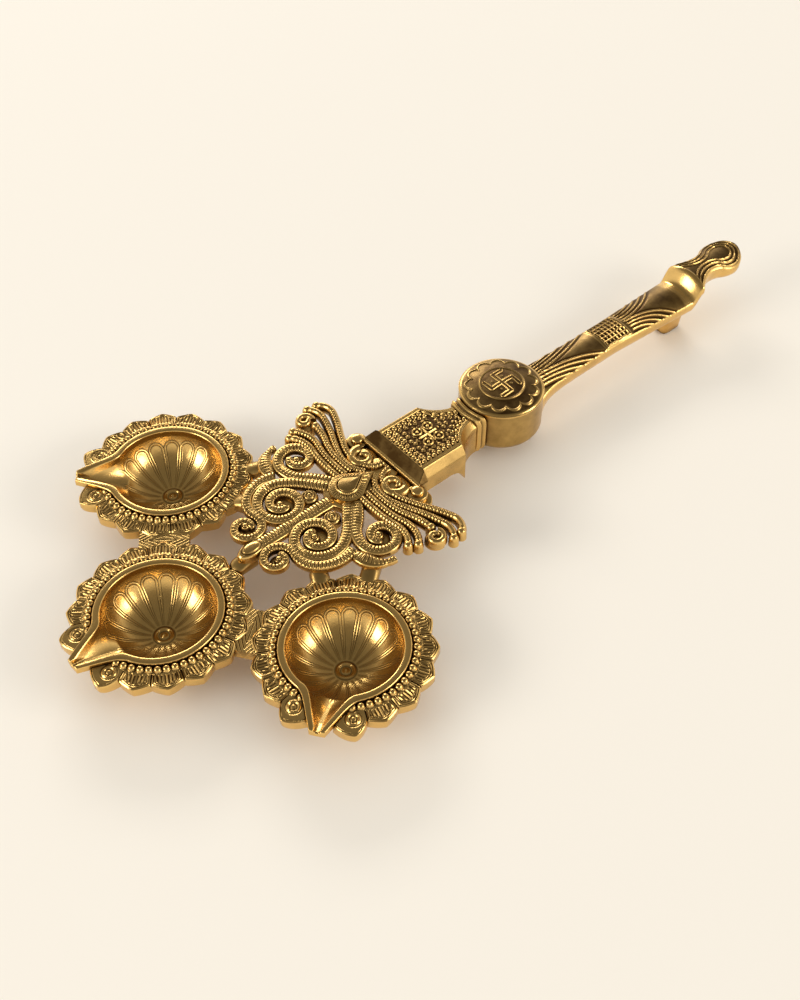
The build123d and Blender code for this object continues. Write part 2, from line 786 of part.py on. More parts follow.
parts = {}
for name, place in stations.items():
    parts[name + "_cup"] = place * cup
    parts[name + "_petal_border"] = place * border
front = parts["front_petal_border"] + make_bridge(1) + make_bridge(-1)
for name in ("left", "right"):
    front -= prism(plans[name], 0, tall)
front -= stations["front"] * prism(spout_outline(cup_band_ledge - cup_fit_gap), 0, tall)
parts["front_petal_border"] = front
parts["scroll_bracket"] = make_bracket(plans.values(), shield_plan)
parts["leaf_boss"] = make_leaf()
parts["bracket_rivets"] = Compound(children=[Pos(*spot, 0) * make_rivet() for spot in rivet_spots()])
parts["shield"] = make_shield(shield_plan)
parts["neck_collar"] = make_collar()
parts["medallion_hub"] = make_hub()
parts["medallion"] = make_medallion()
parts["handle_bar"] = make_bar()
parts["handle_foot"] = make_foot()

os.makedirs("parts", exist_ok=True)
for name, solid in parts.items():
    export_step(Pos(-centre_x, 0, 0) * solid, "parts/" + name + ".step")
    print(name, len(solid.solids()), round(solid.volume, 1))
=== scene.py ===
# %% [markdown]
# # A cast brass aarti lamp
# The lamp has three spouted ghee cups in petal borders, an openwork bracket of scrolls and plumes, and a
# carved handle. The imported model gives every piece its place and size. This lesson makes each piece again
# with the carving that a brass founder cuts into it, and gives it a polished and a darkened brass finish.

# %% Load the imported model
import bpy
import bmesh
import math
import numpy as np
from mathutils import Matrix, Vector


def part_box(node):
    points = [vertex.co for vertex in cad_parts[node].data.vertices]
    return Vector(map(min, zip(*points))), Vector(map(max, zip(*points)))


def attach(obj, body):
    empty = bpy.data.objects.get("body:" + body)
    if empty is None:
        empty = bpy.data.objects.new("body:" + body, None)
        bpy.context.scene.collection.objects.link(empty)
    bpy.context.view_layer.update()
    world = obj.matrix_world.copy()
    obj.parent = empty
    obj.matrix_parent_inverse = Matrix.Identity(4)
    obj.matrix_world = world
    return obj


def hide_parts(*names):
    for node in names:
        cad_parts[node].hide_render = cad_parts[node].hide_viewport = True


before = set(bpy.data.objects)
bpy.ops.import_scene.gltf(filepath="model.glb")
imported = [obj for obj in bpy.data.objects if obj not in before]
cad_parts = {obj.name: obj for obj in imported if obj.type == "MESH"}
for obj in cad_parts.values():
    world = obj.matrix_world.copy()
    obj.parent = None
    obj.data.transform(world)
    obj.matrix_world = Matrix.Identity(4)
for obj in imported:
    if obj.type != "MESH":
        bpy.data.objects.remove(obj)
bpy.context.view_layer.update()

mm = 0.001
print("nodes:", sorted(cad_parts))

# %% [markdown]
# ## Camera
# The camera stands in front of the lamp, on the right cup's side, and looks down by about 48 degrees. As it
# aims at one point, the picture stays upright, so only the place, the target and the lens are set. The
# picture is 1000 pixels high and its focal length is 1350 of them, which on a 36 mm sensor is 48.6 mm.

# %% Camera
front_low, front_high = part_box("front_cup")
band_radius = (front_high.y - front_low.y) / 2
rim_z = front_high.z
front_cup_x = front_high.x - band_radius

camera_target = Vector((front_cup_x + 79.5 * mm, -12.9 * mm, rim_z))
camera_place = Vector((front_cup_x - 98.5 * mm, -222.5 * mm, rim_z + 308.0 * mm))
camera = bpy.data.objects.new("camera", bpy.data.cameras.new("camera"))
camera.data.sensor_fit = "VERTICAL"
camera.data.sensor_height = 36.0
camera.data.lens = 48.6
camera.data.clip_start = 0.01
camera.location = camera_place
camera.rotation_euler = (camera_target - camera_place).to_track_quat("-Z", "Y").to_euler()
bpy.context.scene.collection.objects.link(camera)
bpy.context.scene.camera = camera
print("camera at", [round(v, 4) for v in camera_place])

# %% [markdown]
# ## Light and floor
# Polished brass shows its surroundings, so the room matters more than the lights. Large soft panels on three
# sides give long highlights, a pale floor lifts the undersides, and a dimmer ceiling keeps the upward faces
# from going flat. The view transform stays Standard, so a written colour comes out about as written.

# %% World
scene = bpy.context.scene
scene.view_settings.view_transform = "Standard"


def node(tree, kind, *sources, **settings):
    """Adds a shader node, sets its properties and sockets by name and links sources to its first inputs."""
    made = tree.nodes.new(kind)
    for key, value in settings.items():
        if hasattr(made, key):
            setattr(made, key, value)
        else:
            made.inputs[key.replace("_", " ")].default_value = value
    for source, socket in zip(sources, made.inputs):
        tree.links.new(source, socket)
    return made


def ramp(tree, source, stops):
    """Colour ramp whose stops are places and colours; gives its output."""
    made = node(tree, "ShaderNodeValToRGB", source)
    marks = made.color_ramp.elements
    for mark, (position, colour) in zip(marks, (stops[0], stops[-1])):
        mark.position = position
        mark.color = (*colour, 1)
    for position, colour in stops[1:-1]:
        marks.new(position).color = (*colour, 1)
    return made.outputs[0]


def paint_world():
    """Pale surroundings for the eye and for reflections, with an even fill for plain light."""
    world = bpy.data.worlds.new("studio")
    world.use_nodes = True
    tree = world.node_tree
    tree.nodes.clear()
    floor_glow = (0.93, 0.89, 0.82)
    horizon = (0.90, 0.86, 0.79)
    ceiling = (0.22, 0.20, 0.17)
    zenith = (0.16, 0.15, 0.13)
    place = node(tree, "ShaderNodeTexCoord")
    axes = node(tree, "ShaderNodeSeparateXYZ", place.outputs["Generated"])
    room = ramp(tree, axes.outputs["Z"], [(0.0, floor_glow), (0.30, horizon), (0.58, ceiling), (1.0, zenith)])
    seen = node(tree, "ShaderNodeBackground", room, Strength=1.0)
    fill = node(tree, "ShaderNodeBackground", Color=(1.0, 0.98, 0.95, 1), Strength=0.62)
    rays = node(tree, "ShaderNodeLightPath").outputs
    first = node(tree, "ShaderNodeMath", rays["Is Camera Ray"], rays["Is Glossy Ray"], operation="MAXIMUM")
    second = node(tree, "ShaderNodeMath", first.outputs[0], rays["Is Transmission Ray"], operation="MAXIMUM")
    mix = node(tree, "ShaderNodeMixShader", second.outputs[0], fill.outputs[0], seen.outputs[0])
    node(tree, "ShaderNodeOutputWorld", mix.outputs[0])
    scene.world = world


paint_world()
print("world:", scene.world.name)

# %% Panels and floor
lit_spot = Vector((-0.02, 0.0, 0.0))


def add_panel(name, place, size, watts, colour):
    """Rectangular soft light that faces the lamp."""
    data = bpy.data.lights.new(name, "AREA")
    data.shape = "RECTANGLE"
    data.size, data.size_y = size
    data.energy = watts
    data.color = colour
    panel = bpy.data.objects.new(name, data)
    panel.location = place
    panel.rotation_euler = (lit_spot - Vector(place)).to_track_quat("-Z", "Y").to_euler()
    scene.collection.objects.link(panel)


def add_floor():
    """Pale cream table that takes the lamp's soft shadow."""
    bm = bmesh.new()
    bmesh.ops.create_grid(bm, x_segments=1, y_segments=1, size=6.0)
    mesh = bpy.data.meshes.new("table")
    bm.to_mesh(mesh)
    bm.free()
    table = bpy.data.objects.new("table", mesh)
    scene.collection.objects.link(table)
    cream = bpy.data.materials.new("cream_table")
    cream.use_nodes = True
    shader = cream.node_tree.nodes["Principled BSDF"]
    shader.inputs["Base Color"].default_value = (0.92, 0.87, 0.78, 1)
    shader.inputs["Roughness"].default_value = 0.9
    shader.inputs["Specular IOR Level"].default_value = 0.1
    mesh.materials.append(cream)


add_panel("left_panel", (-1.30, 0.35, 0.60), size=(0.7, 0.5), watts=8.0, colour=(1.0, 0.97, 0.92))
add_panel("right_panel", (0.75, -1.15, 0.70), size=(0.8, 0.5), watts=7.5, colour=(1.0, 0.96, 0.90))
add_panel("back_panel", (0.65, 1.40, 0.75), size=(1.0, 0.4), watts=10.0, colour=(1.0, 0.98, 0.95))
add_floor()

# %% [markdown]
# ## Brass
# Cast brass is bright where hands and polish reach it and brown where they don't. Each carved piece carries
# a point attribute named patina_and_shade, which its carving fills in: 0 on the high places and 1 in the
# cuts, where it is patina; on the shield's brow it is a painted dark reflection. The material mixes polished
# brass towards dark brown by that attribute, by how enclosed the spot is, which is painted shade, and by a
# slow noise, so that no face is one flat colour.

# %% Brass finishes
brass_colour = (0.84, 0.54, 0.18)
# The dark end serves both the patina in the cuts and the painted shade of enclosed places.
patina_and_shade_colour = (0.090, 0.045, 0.012)
half_dull_colour = [0.55 * bright + 0.30 * dark for bright, dark in zip(brass_colour, patina_and_shade_colour)]
polish_roughness = 0.21


def brass(name, patina_roughness, reach, grain):
    """Polished brass with brown patina in its cuts and painted shade in enclosed places; reach is how far
    that painted shade spreads.
    """
    material = bpy.data.materials.new(name)
    material.use_nodes = True
    tree = material.node_tree
    place = node(tree, "ShaderNodeTexCoord").outputs["Object"]
    cut = node(tree, "ShaderNodeAttribute", attribute_name="patina_and_shade")
    # Ambient occlusion darkens enclosed places, and places under and between parts: painted shade.
    shade = node(tree, "ShaderNodeAmbientOcclusion", samples=8, Distance=reach)
    painted_shade = node(tree, "ShaderNodeMapRange", shade.outputs["AO"],
                  From_Min=0.85, From_Max=0.30, To_Min=0.0, To_Max=0.7)
    blotch = node(tree, "ShaderNodeTexNoise", place, Scale=140.0, Detail=4.0, Roughness=0.6)
    spread = node(tree, "ShaderNodeMapRange", blotch.outputs["Fac"],
                  From_Min=0.35, From_Max=0.75, To_Min=-0.10, To_Max=0.22)
    total = node(tree, "ShaderNodeMath", cut.outputs["Fac"], painted_shade.outputs["Result"], operation="ADD")
    amount = node(tree, "ShaderNodeMath", total.outputs[0], spread.outputs["Result"],
                  operation="ADD", use_clamp=True).outputs[0]
    colour = ramp(tree, amount, [(0.0, brass_colour), (0.45, half_dull_colour), (0.92, patina_and_shade_colour)])
    rough = node(tree, "ShaderNodeMapRange", amount, To_Min=polish_roughness, To_Max=patina_roughness)
    pores = node(tree, "ShaderNodeTexNoise", place, Scale=grain, Detail=3.0)
    bump = node(tree, "ShaderNodeBump", Strength=0.12, Distance=0.0002)
    tree.links.new(pores.outputs["Fac"], bump.inputs["Height"])
    shader = tree.nodes["Principled BSDF"]
    shader.inputs["Metallic"].default_value = 1.0
    tree.links.new(colour, shader.inputs["Base Color"])
    tree.links.new(rough.outputs["Result"], shader.inputs["Roughness"])
    tree.links.new(bump.outputs["Normal"], shader.inputs["Normal"])
    return material


polished_brass = brass("polished_brass", patina_roughness=0.40, reach=0.004, grain=1800.0)
carved_brass = brass("carved_brass", patina_roughness=0.45, reach=0.003, grain=1500.0)
print("finishes:", polished_brass.name, carved_brass.name)

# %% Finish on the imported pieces
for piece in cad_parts.values():
    piece.data.materials.clear()
    piece.data.materials.append(carved_brass)

# %% [markdown]
# ## Sheets that are bent into shape
# Every carved piece starts as a flat grid of faces. A form function then says, for each point's shares along
# and across the grid, where it goes in millimetres and how dull it is. Points that land on each other are
# welded, open ends are filled, and the normals are turned outwards. Lengths below are in millimetres, x runs
# from the front cup's axis towards the handle, and z is the height above the table.

# %% Sheet helpers
crease_angle = math.radians(50)


def ease(share):
    """Smooth step from 0 to 1."""
    share = np.clip(share, 0, 1)
    return share * share * (3 - 2 * share)


def line(distance, width):
    """1 on a line and 0 from the given distance on."""
    return ease(1 - np.abs(distance) / width)


def swelling(gap, radius):
    """Height of a round bead at a distance from its middle."""
    return np.sqrt(np.maximum(radius**2 - gap**2, 0))


def squared(wave, power):
    """Cosine or sine pushed outwards, which turns a circle into a rounded square."""
    return np.sign(wave) * np.abs(wave) ** power


def picked(rows, share):
    """The row at each share of the way through the rows, column by column."""
    return rows[np.rint(share * (len(rows) - 1)).astype(int)].T


def sheet(along, across, form):
    """Grid bent into shape by form(u, v), which gives x, y, z and the value of patina and painted shade."""
    bm = bmesh.new()
    dull = bm.verts.layers.float.new("patina_and_shade")
    bmesh.ops.create_grid(bm, x_segments=along, y_segments=across, size=0.5)
    flat = np.array([vert.co[:2] for vert in bm.verts]) + 0.5
    shaped = np.stack(np.broadcast_arrays(*form(flat[:, 0], flat[:, 1])), axis=1)
    for vert, (x, y, z, patina_and_shade) in zip(bm.verts, shaped.tolist()):
        vert.co = (x, y, z)
        vert[dull] = min(max(patina_and_shade, 0.0), 1.0)
    bmesh.ops.remove_doubles(bm, verts=bm.verts[:], dist=0.001)
    rims = [edge for edge in bm.edges if edge.is_boundary]
    if rims:
        bmesh.ops.holes_fill(bm, edges=rims, sides=0)
    bmesh.ops.recalc_face_normals(bm, faces=bm.faces[:])
    return bm


def joined(meshes):
    """One mesh from several."""
    whole = bmesh.new()
    whole.verts.layers.float.new("patina_and_shade")
    for bm in meshes:
        step = bpy.data.meshes.new("step")
        bm.to_mesh(step)
        bm.free()
        whole.from_mesh(step)
        bpy.data.meshes.remove(step)
    return whole


def add_piece(name, bm, material, node_name):
    """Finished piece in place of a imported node."""
    bm.transform(Matrix.Translation((front_cup_x, 0, 0)) @ Matrix.Scale(mm, 4))
    mesh = bpy.data.meshes.new(name)
    bm.to_mesh(mesh)
    bm.free()
    mesh.shade_smooth()
    mesh.set_sharp_from_angle(angle=crease_angle)
    mesh.materials.append(material)
    piece = bpy.data.objects.new(name, mesh)
    scene.collection.objects.link(piece)
    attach(piece, "root")
    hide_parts(node_name)
    print(name, len(mesh.vertices), "points")


def bow(start, end, bulge, count):
    """Points of an arc that stands off the straight line by bulge, to the left of the way."""
    start, end = np.array(start, float), np.array(end, float)
    chord = np.linalg.norm(end - start)
    way = (end - start) / chord
    left = np.array([-way[1], way[0]])
    radius = (chord**2 / 4 + bulge**2) / (2 * bulge)
    centre = (start + end) / 2 + left * (bulge - radius)
    half = math.asin(chord / 2 / abs(radius))
    swing = np.linspace(-half, half, count)[:, None]
    return centre + left * radius * np.cos(swing) + way * abs(radius) * np.sin(swing)


def placed(x, y, spot, turn):
    """Plan coordinates turned and moved to a station."""
    c, s = math.cos(turn), math.sin(turn)
    return spot[0] + c * x - s * y, spot[1] + s * x + c * y


# %% [markdown]
# ## Where the cups stand
# The three cups are alike. The front spout points away from the handle and the side spouts are turned out by
# 36 degrees, so that three flames never meet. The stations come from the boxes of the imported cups.

# %% Stations
rim = rim_z / mm
band = band_radius / mm
left_low, left_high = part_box("left_cup")
side_spot = ((left_high.x - front_cup_x) / mm - band, left_low.y / mm + band)
side_spout_turn = math.radians(36.0)
stations = {
    "front": ((0.0, 0.0), math.pi),
    "left": (side_spot, math.pi - side_spout_turn),
    "right": ((side_spot[0], -side_spot[1]), math.pi + side_spout_turn),
}
print("side cup at", [round(v, 2) for v in side_spot])

# %% [markdown]
# ## Cups
# A cup is a turned bowl whose band is drawn out to a spout. The section is turned round the axis, and near
# the spout each row is pulled outwards: the band by its full length, and the bowl's wall less and less with
# depth, which leaves a sloping channel with a notch at its blunt end. Eighteen round-topped petals cover the
# bowl, each with a raised line between two cuts, and in the bottom lies a ringed boss.

# %% Cup sizes
band_width = 2.3
band_height = 2.2
band_edge_round = 0.65
bowl_depth = 13.0
bowl_bulge = 3.3
bowl_outside = band - 1.2
base_radius = 8.5
outside_bulge = 2.0
seat = rim - band_height
opening = band - band_width
spout_length = 9.8
spout_root = math.radians(30.5)
spout_blunt = math.radians(4.4)
channel_length = 11.3
channel_root = math.radians(27.0)
channel_blunt = math.radians(1.5)
channel_depth = 7.5
spout_droop = 0.9
notch_depth = 1.0
notch_width = 1.6
spout_sweep = 2.2
channel_fall = 0.9
bowl_petals = 18
petal_gap = 1.7
petal_round = 2.6
petal_line_radius = 12.0
petal_line = 0.24
petal_ridge = 0.26
petal_ridge_inset = 0.38
petal_inner_inset = 0.78
petal_relief = 0.05
boss_radius = 3.2
boss_ring_radius = 2.5
boss_groove_radius = 1.55
boss_button_radius = 1.3
carving_fade = 1.5
cup_columns = 820
column_crowding = 1.25


def drawn_out(turn, root, blunt, length):
    """How far the spout pulls a point outwards, at an angle off the spout's line."""
    near = np.clip((root - np.abs(turn)) / (root - blunt), 0, 1)
    return length * near**spout_sweep


def cup_rows():
    """Section from the bowl's middle over the band to the foot, with what each row does at the spout."""
    floor = rim - bowl_depth
    inside = bow((0, floor), (opening, seat), -bowl_bulge, 84)
    corner = np.radians(np.linspace(180, 90, 5))
    inner_edge = np.stack([opening + band_edge_round * (1 + np.cos(corner)),
                           rim - band_edge_round * (1 - np.sin(corner))], axis=1)
    outer_edge = np.stack([2 * band - band_width - inner_edge[::-1, 0], inner_edge[::-1, 1]], axis=1)
    outside = bow((bowl_outside, seat), (base_radius, 0), outside_bulge, 18)
    foot = np.array([[base_radius / 2, 0], [0, 0]])
    rows = np.concatenate([inside, inner_edge, outer_edge, [[band, seat]], outside, foot])
    radius, height = rows.T
    depth = rim - height
    is_inside = np.arange(len(rows)) < len(inside) + len(inner_edge)
    below = np.where(is_inside, depth, np.maximum(depth - band_height, 0)) / channel_depth
    pull = np.where(is_inside, channel_length, spout_length) * np.clip(1 - below, 0, 1) ** channel_fall
    root = np.where(is_inside, channel_root, spout_root)
    blunt = np.where(is_inside, channel_blunt, spout_blunt)
    carved = np.arange(len(rows)) < len(inside)
    slope = np.gradient(rows, axis=0)
    slope /= np.linalg.norm(slope, axis=1)[:, None] + 1e-9
    steps = np.linalg.norm(np.diff(rows, axis=0), axis=1)
    to_seat = np.sum(steps[:len(inside) - 1]) - np.concatenate([[0], np.cumsum(steps)])
    return np.stack([radius, height, pull, root, blunt, carved, -slope[:, 1], slope[:, 0], to_seat], axis=1)


print("rows in a cup's section:", len(cup_rows()))

# %% Bowls, bands and spouts


def bowl_carving(radius, to_seat, turn):
    """Relief and patina of the petals and of the boss in the bowl, and a slight darkening towards its bottom;
    to_seat is measured up the wall.
    """
    pitch = 2 * math.pi / bowl_petals
    share = np.mod(turn / pitch, 1) - 0.5
    sideways = np.abs(share) * pitch * radius
    half = pitch * radius / 2
    above = petal_gap + petal_round - to_seat
    inward = np.where(above < 0, half - sideways, petal_round - np.hypot(sideways, above))
    fine = np.clip(radius / petal_line_radius, 0.3, 1)
    outline = line(inward / fine, petal_line)
    ridge = line(inward / fine - petal_ridge_inset, petal_ridge)
    second = line(inward / fine - petal_inner_inset, petal_line)
    near_boss = ease((boss_radius + 0.8 - radius) / 0.5)
    relief = petal_relief * fine * (ridge - outline - second) * (1 - near_boss)
    dull = np.maximum(outline, 0.85 * second) * (1 - near_boss)
    ring = 0.55 * line(radius - boss_ring_radius, 0.7) + 0.9 * ease(1 - radius / boss_button_radius)
    relief += ring * near_boss
    dull += 0.8 * (line(radius - boss_groove_radius, 0.35) + line(radius - boss_radius, 0.4)) * near_boss
    beyond = ease((petal_gap - 0.5 - to_seat) / 0.4)
    # The last term darkens the bowl a little towards its bottom.
    return relief * (1 - beyond), dull * (1 - beyond) + 0.10 * (1 - near_boss) * ease(1 - radius / 9)


def make_cup(name, spot, heading):
    rows = cup_rows()

    def form(u, v):
        turn = math.pi * np.sign(u - 0.5) * np.abs(2 * u - 1) ** column_crowding
        radius, height, pull, root, blunt, carved, out, up, to_seat = picked(rows, v)
        reach = drawn_out(turn, root, blunt, pull)
        relief, dull = bowl_carving(radius, to_seat, turn)
        fade = carved * (1 - ease(reach / carving_fade))
        across = radius + reach + fade * relief * out
        sag = spout_droop * (reach / channel_length) ** 2
        sag = sag + notch_depth * ease(notch_width - np.abs(turn) / channel_blunt) * (height > seat + 0.5)
        x, y = placed(across * np.cos(turn), across * np.sin(turn), spot, heading)
        return x, y, height + fade * relief * up - sag, fade * dull

    add_piece(name, sheet(cup_columns, len(rows) - 1, form), polished_brass, name)


for side, (spot, heading) in stations.items():
    make_cup(side + "_cup", spot, heading)

# %% [markdown]
# ## Petal borders
# Round each cup lies a plate of fourteen pointed petals, with a lobe that carries a ringed boss at each side
# of the spout. Next to the band runs a row of beads. Each petal has a plain rim, a double outline and a comb
# of short ribs, and the plate slopes down towards the tips.

# %% Border sizes and outline
border_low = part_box("left_petal_border")[0].z / mm
valley_radius = band + 5.8
tip_radius = valley_radius + 2.0
border_raise = 1.0
border_drop = 0.4
petal_pitch = 21.5
petal_first = 40.25
lobe_angle = 20.75
lobe_half_angle = 8.75
lobe_tip_radius = valley_radius + 4.0
border_start = math.radians(7.9)
bead_ring = band + 1.25
bead_radius = 1.12
bead_count = 52
bead_zone_end = bead_ring + 1.3
petal_start = bead_ring + 1.5
rib_pitch = 1.0
comb_inset = 1.45
outline_inset = 0.62
second_inset = 1.30
outline_width = 0.26
outline_depth = 0.32
valley_width = 0.35
valley_depth = 0.50
furrow_depth = 0.40
lobe_boss_radius = valley_radius - 1.2
lobe_ring = 1.65
lobe_ring_height = 0.3
lobe_groove_depth = 0.25
rim_round = 0.35
border_columns = 600


def border_edge(degrees):
    """Outline radius of a border and the place across the petal, -0.5 to 0.5."""
    count = (degrees - petal_first) / petal_pitch
    share = count - np.rint(count)
    petal = valley_radius + (tip_radius - valley_radius) * (1 - np.abs(2 * share) ** 1.2)
    off = (degrees - lobe_angle) / lobe_half_angle
    fall = np.where(off > 0, np.clip(off, 0, 1) ** 1.6, 0.45 * np.clip(-off, 0, 1.6) ** 1.6)
    lobe = valley_radius + (lobe_tip_radius - valley_radius) * (1 - fall)
    is_petal = degrees > petal_first - petal_pitch / 2
    return np.where(is_petal, petal, lobe), share, is_petal


print("border from", round(band, 2), "to", round(tip_radius, 2))

# %% Petal borders


def border_carving(radius, turn):
    """Relief and patina on top of a border."""
    degrees = np.degrees(np.abs(turn))
    edge, share, is_petal = border_edge(degrees)
    rim_gap = edge - radius
    petal_span = math.radians(petal_pitch) * radius
    side_gap = (0.5 - np.abs(share)) * petal_span
    inward = np.where(is_petal, np.minimum(rim_gap, side_gap), rim_gap)
    bead_pitch = 2 * math.pi / bead_count
    bead_share = turn / bead_pitch - np.rint(turn / bead_pitch)
    dome = swelling(np.hypot(bead_share * bead_pitch * radius, radius - bead_ring), bead_radius)
    bead_zone = ease((bead_zone_end - radius) / 0.25)
    past_beads = radius > petal_start
    furrow = 0.5 - 0.5 * np.cos(2 * math.pi * share * petal_span / rib_pitch)
    furrow = furrow * ease((inward - comb_inset) / 0.25) * ease((radius - petal_start) / 0.2) * is_petal
    first = line(inward - outline_inset, outline_width) * past_beads
    second = line(inward - second_inset, outline_width) * is_petal
    valley = line(side_gap, valley_width) * is_petal
    off = np.radians(degrees - lobe_angle)
    boss_gap = np.hypot(radius * np.cos(off) - lobe_boss_radius, radius * np.sin(off))
    on_lobe = (1 - is_petal) * past_beads
    boss = np.maximum(line(boss_gap - lobe_ring, 0.45), ease(1 - boss_gap / 0.9)) * on_lobe
    groove = np.maximum(line(boss_gap - 2.35, 0.35), line(boss_gap - 1.0, 0.3)) * on_lobe
    relief = lobe_ring_height * boss - lobe_groove_depth * groove
    relief -= outline_depth * (first + second) + valley_depth * valley + furrow_depth * furrow
    dull = np.maximum.reduce([0.55 * first, 0.55 * second, 0.8 * valley, 0.6 * furrow, 0.6 * groove])
    relief = relief * (1 - bead_zone) + (0.95 * dome - 0.05) * bead_zone
    dull = dull * (1 - bead_zone) + 0.60 * ease(1 - dome / 0.4) * bead_zone
    relief -= rim_round * (1 - ease(rim_gap / 0.5))
    return relief, dull


def make_border(name, spot, heading):
    top = [(share, 1.0) for share in np.linspace(0, 1, 41)]
    loop = np.array([(0.0, 0.0)] + top + [(1.0, 0.6), (1.0, 0.25), (0.97, 0.0), (0.0, 0.0)])

    def form(u, v):
        turn = border_start + u * 2 * (math.pi - border_start)
        turn = np.where(turn > math.pi, turn - 2 * math.pi, turn)
        share, level = picked(loop, v)
        start = bowl_outside + 0.2 + drawn_out(turn, spout_root, spout_blunt, spout_length)
        edge = border_edge(np.degrees(np.abs(turn)))[0]
        radius = start + share * (np.maximum(edge, start + 0.1) - start)
        relief, dull = border_carving(radius, turn)
        beside_band = ease((radius - start - 1.05) / 0.25)
        high = seat + border_raise * beside_band - border_drop * (radius - band) / (tip_radius - band)
        height = border_low + level * (high + relief - border_low)
        x, y = placed(radius * np.cos(turn), radius * np.sin(turn), spot, heading)
        return x, y, height, dull * (level > 0.9)

    add_piece(name, sheet(border_columns, len(loop) - 1, form), carved_brass, name)


for side, (spot, heading) in stations.items():
    make_border(side + "_petal_border", spot, heading)

# %% [markdown]
# The side borders are brazed to the front one through two webs that fill the hollow between the petals. A
# pointed leaf with a midrib is cut in each, with more outlines of it nested round it.

# %% Webs between the borders
web_width = 15.0
web_drop = 0.7
web_leaf_half_width = 1.5
web_leaf_half_length = 4.4
web_line_pitch = 1.15
web_cut_depth = 0.3
web_top = seat + border_raise - web_drop


def make_web(side):
    spread = math.hypot(*side_spot)
    heading = side * math.atan2(side_spot[1], side_spot[0])
    loop = np.array([(0, 0), (1, 0), (1, 0.9), (0.97, 1)] + [(s, 1) for s in np.linspace(0.9, -0.9, 48)]
                    + [(-0.97, 1), (-1, 0.9), (-1, 0), (0, 0)], float)

    def form(u, v):
        across, level = picked(loop, v)
        side_y = (u - 0.5) * web_width
        half = spread / 2 - np.sqrt((valley_radius - 0.5) ** 2 - side_y**2)
        along = across * half
        leaf = np.abs(along) + web_leaf_half_width * ((np.abs(side_y) / web_leaf_half_length) ** 1.5 - 1)
        nested = np.mod(leaf + web_line_pitch / 2, web_line_pitch) - web_line_pitch / 2
        cut = line(nested, 0.3) * (leaf > -0.5)
        cut = np.maximum(cut, line(along, 0.25) * (leaf < 0)) * (level > 0.95)
        x, y = placed(spread / 2 + along, side_y, (0, 0), heading)
        height = border_low + level * (web_top - border_low) - web_cut_depth * cut
        return x, y, height, 0.1 + 0.55 * cut

    return sheet(90, len(loop) - 1, form)


add_piece("border_webs", joined([make_web(1), make_web(-1)]), carved_brass, "front_petal_border")

# %% [markdown]
# ## Scrolled bracket
# The bracket is drawn with a pen of brass: strands run along chains of arcs, wind into spirals and end in
# knobs. An arc is kept as its centre, radius, start angle and turn, all in degrees, in the bracket's own plan
# with x counted from its foot at the front border. The right half is the left half with y turned over.

# %% Paths of arcs
bracket_x = valley_radius + 2.2
bracket_low = rim - 1.5
plate_top = bracket_low + 2.5
trace_step = 0.16


def polar(radius, degrees):
    """Step of a length in a direction."""
    turn = math.radians(degrees)
    return np.array([radius * math.cos(turn), radius * math.sin(turn)])


def arc_from(start, heading, end):
    """Arc that leaves start along heading and ends at end."""
    normal = polar(1, heading + 90)
    run = np.subtract(end, start)
    radius = run @ run / (2 * run @ normal)
    centre = start + radius * normal
    begin = math.degrees(math.atan2(*(start - centre)[::-1]))
    finish = math.degrees(math.atan2(*(end - centre)[::-1]))
    turn = (finish - begin) % 360
    return centre, abs(radius), begin, turn - 360 if radius < 0 else turn


def biarc(start, heading, end, end_heading):
    """Two arcs that join a point and heading to another point and heading."""
    leave, arrive = polar(1, heading), polar(1, end_heading)
    run = np.subtract(end, start)
    total = run @ (leave + arrive)
    spread = 2 * (1 - leave @ arrive)
    reach = (math.sqrt(total**2 + spread * (run @ run)) - total) / spread
    joint = (np.add(start, end) + reach * (leave - arrive)) / 2
    first = arc_from(np.array(start), heading, joint)
    return [first, arc_from(joint, heading + first[3], np.array(end))]


def through(points, heading):
    """Chain of smoothly joined arcs through a few points."""
    arcs = []
    for start, end in zip(points, points[1:]):
        arcs.append(arc_from(np.array(start), heading, np.array(end)))
        heading += arcs[-1][3]
    return arcs


def spiral(eye, entry, outer, inner, quarters, hand):
    """Quarter arcs that wind in round an eye; hand is 1 to the left and -1 to the right."""
    arcs = []
    point = eye + polar(outer, entry)
    for quarter in range(quarters):
        radius = outer + (inner - outer) * quarter / (quarters - 1)
        angle = entry + hand * 90 * quarter
        centre = point - polar(radius, angle)
        arcs.append((centre, radius, angle, hand * 90))
        point = centre + polar(radius, angle + hand * 90)
    return arcs


def trace(arcs):
    """Points along the arcs with the way across the path and the length so far."""
    rows = []
    for centre, radius, begin, turn in arcs:
        count = max(int(math.radians(abs(turn)) * radius / trace_step), 4)
        angles = np.radians(begin + turn * np.arange(count) / count)
        out = np.stack([np.cos(angles), np.sin(angles)], axis=1)
        rows.append(np.hstack([centre + radius * out, out * np.sign(turn)]))
    path = np.concatenate(rows)
    length = np.concatenate([[0], np.cumsum(np.linalg.norm(np.diff(path[:, :2], axis=0), axis=1))])
    return np.hstack([path, length[:, None]])


print("arcs of a test spiral:", len(spiral(np.zeros(2), 0, 5, 2, 4, 1)))

# %% [markdown]
# A strand is half round with a flat back. A row of fine cuts crosses its top, and along one edge, the outer
# one of a scroll, runs a smooth roll. The cuts stop short of a plain end, and every end is rounded.

# %% Strands, knobs and slabs
cut_pitch = 1.15
cut_half_width = 0.29
cut_depth = 0.34
cut_reach = 0.62
cut_shift = 0.27
edge_depth = 0.16
strand_wall = 0.36
all_plain = 99.0
knob_fold = 1.15
knob_ring_depth = 0.35
slab_bevel = 0.35


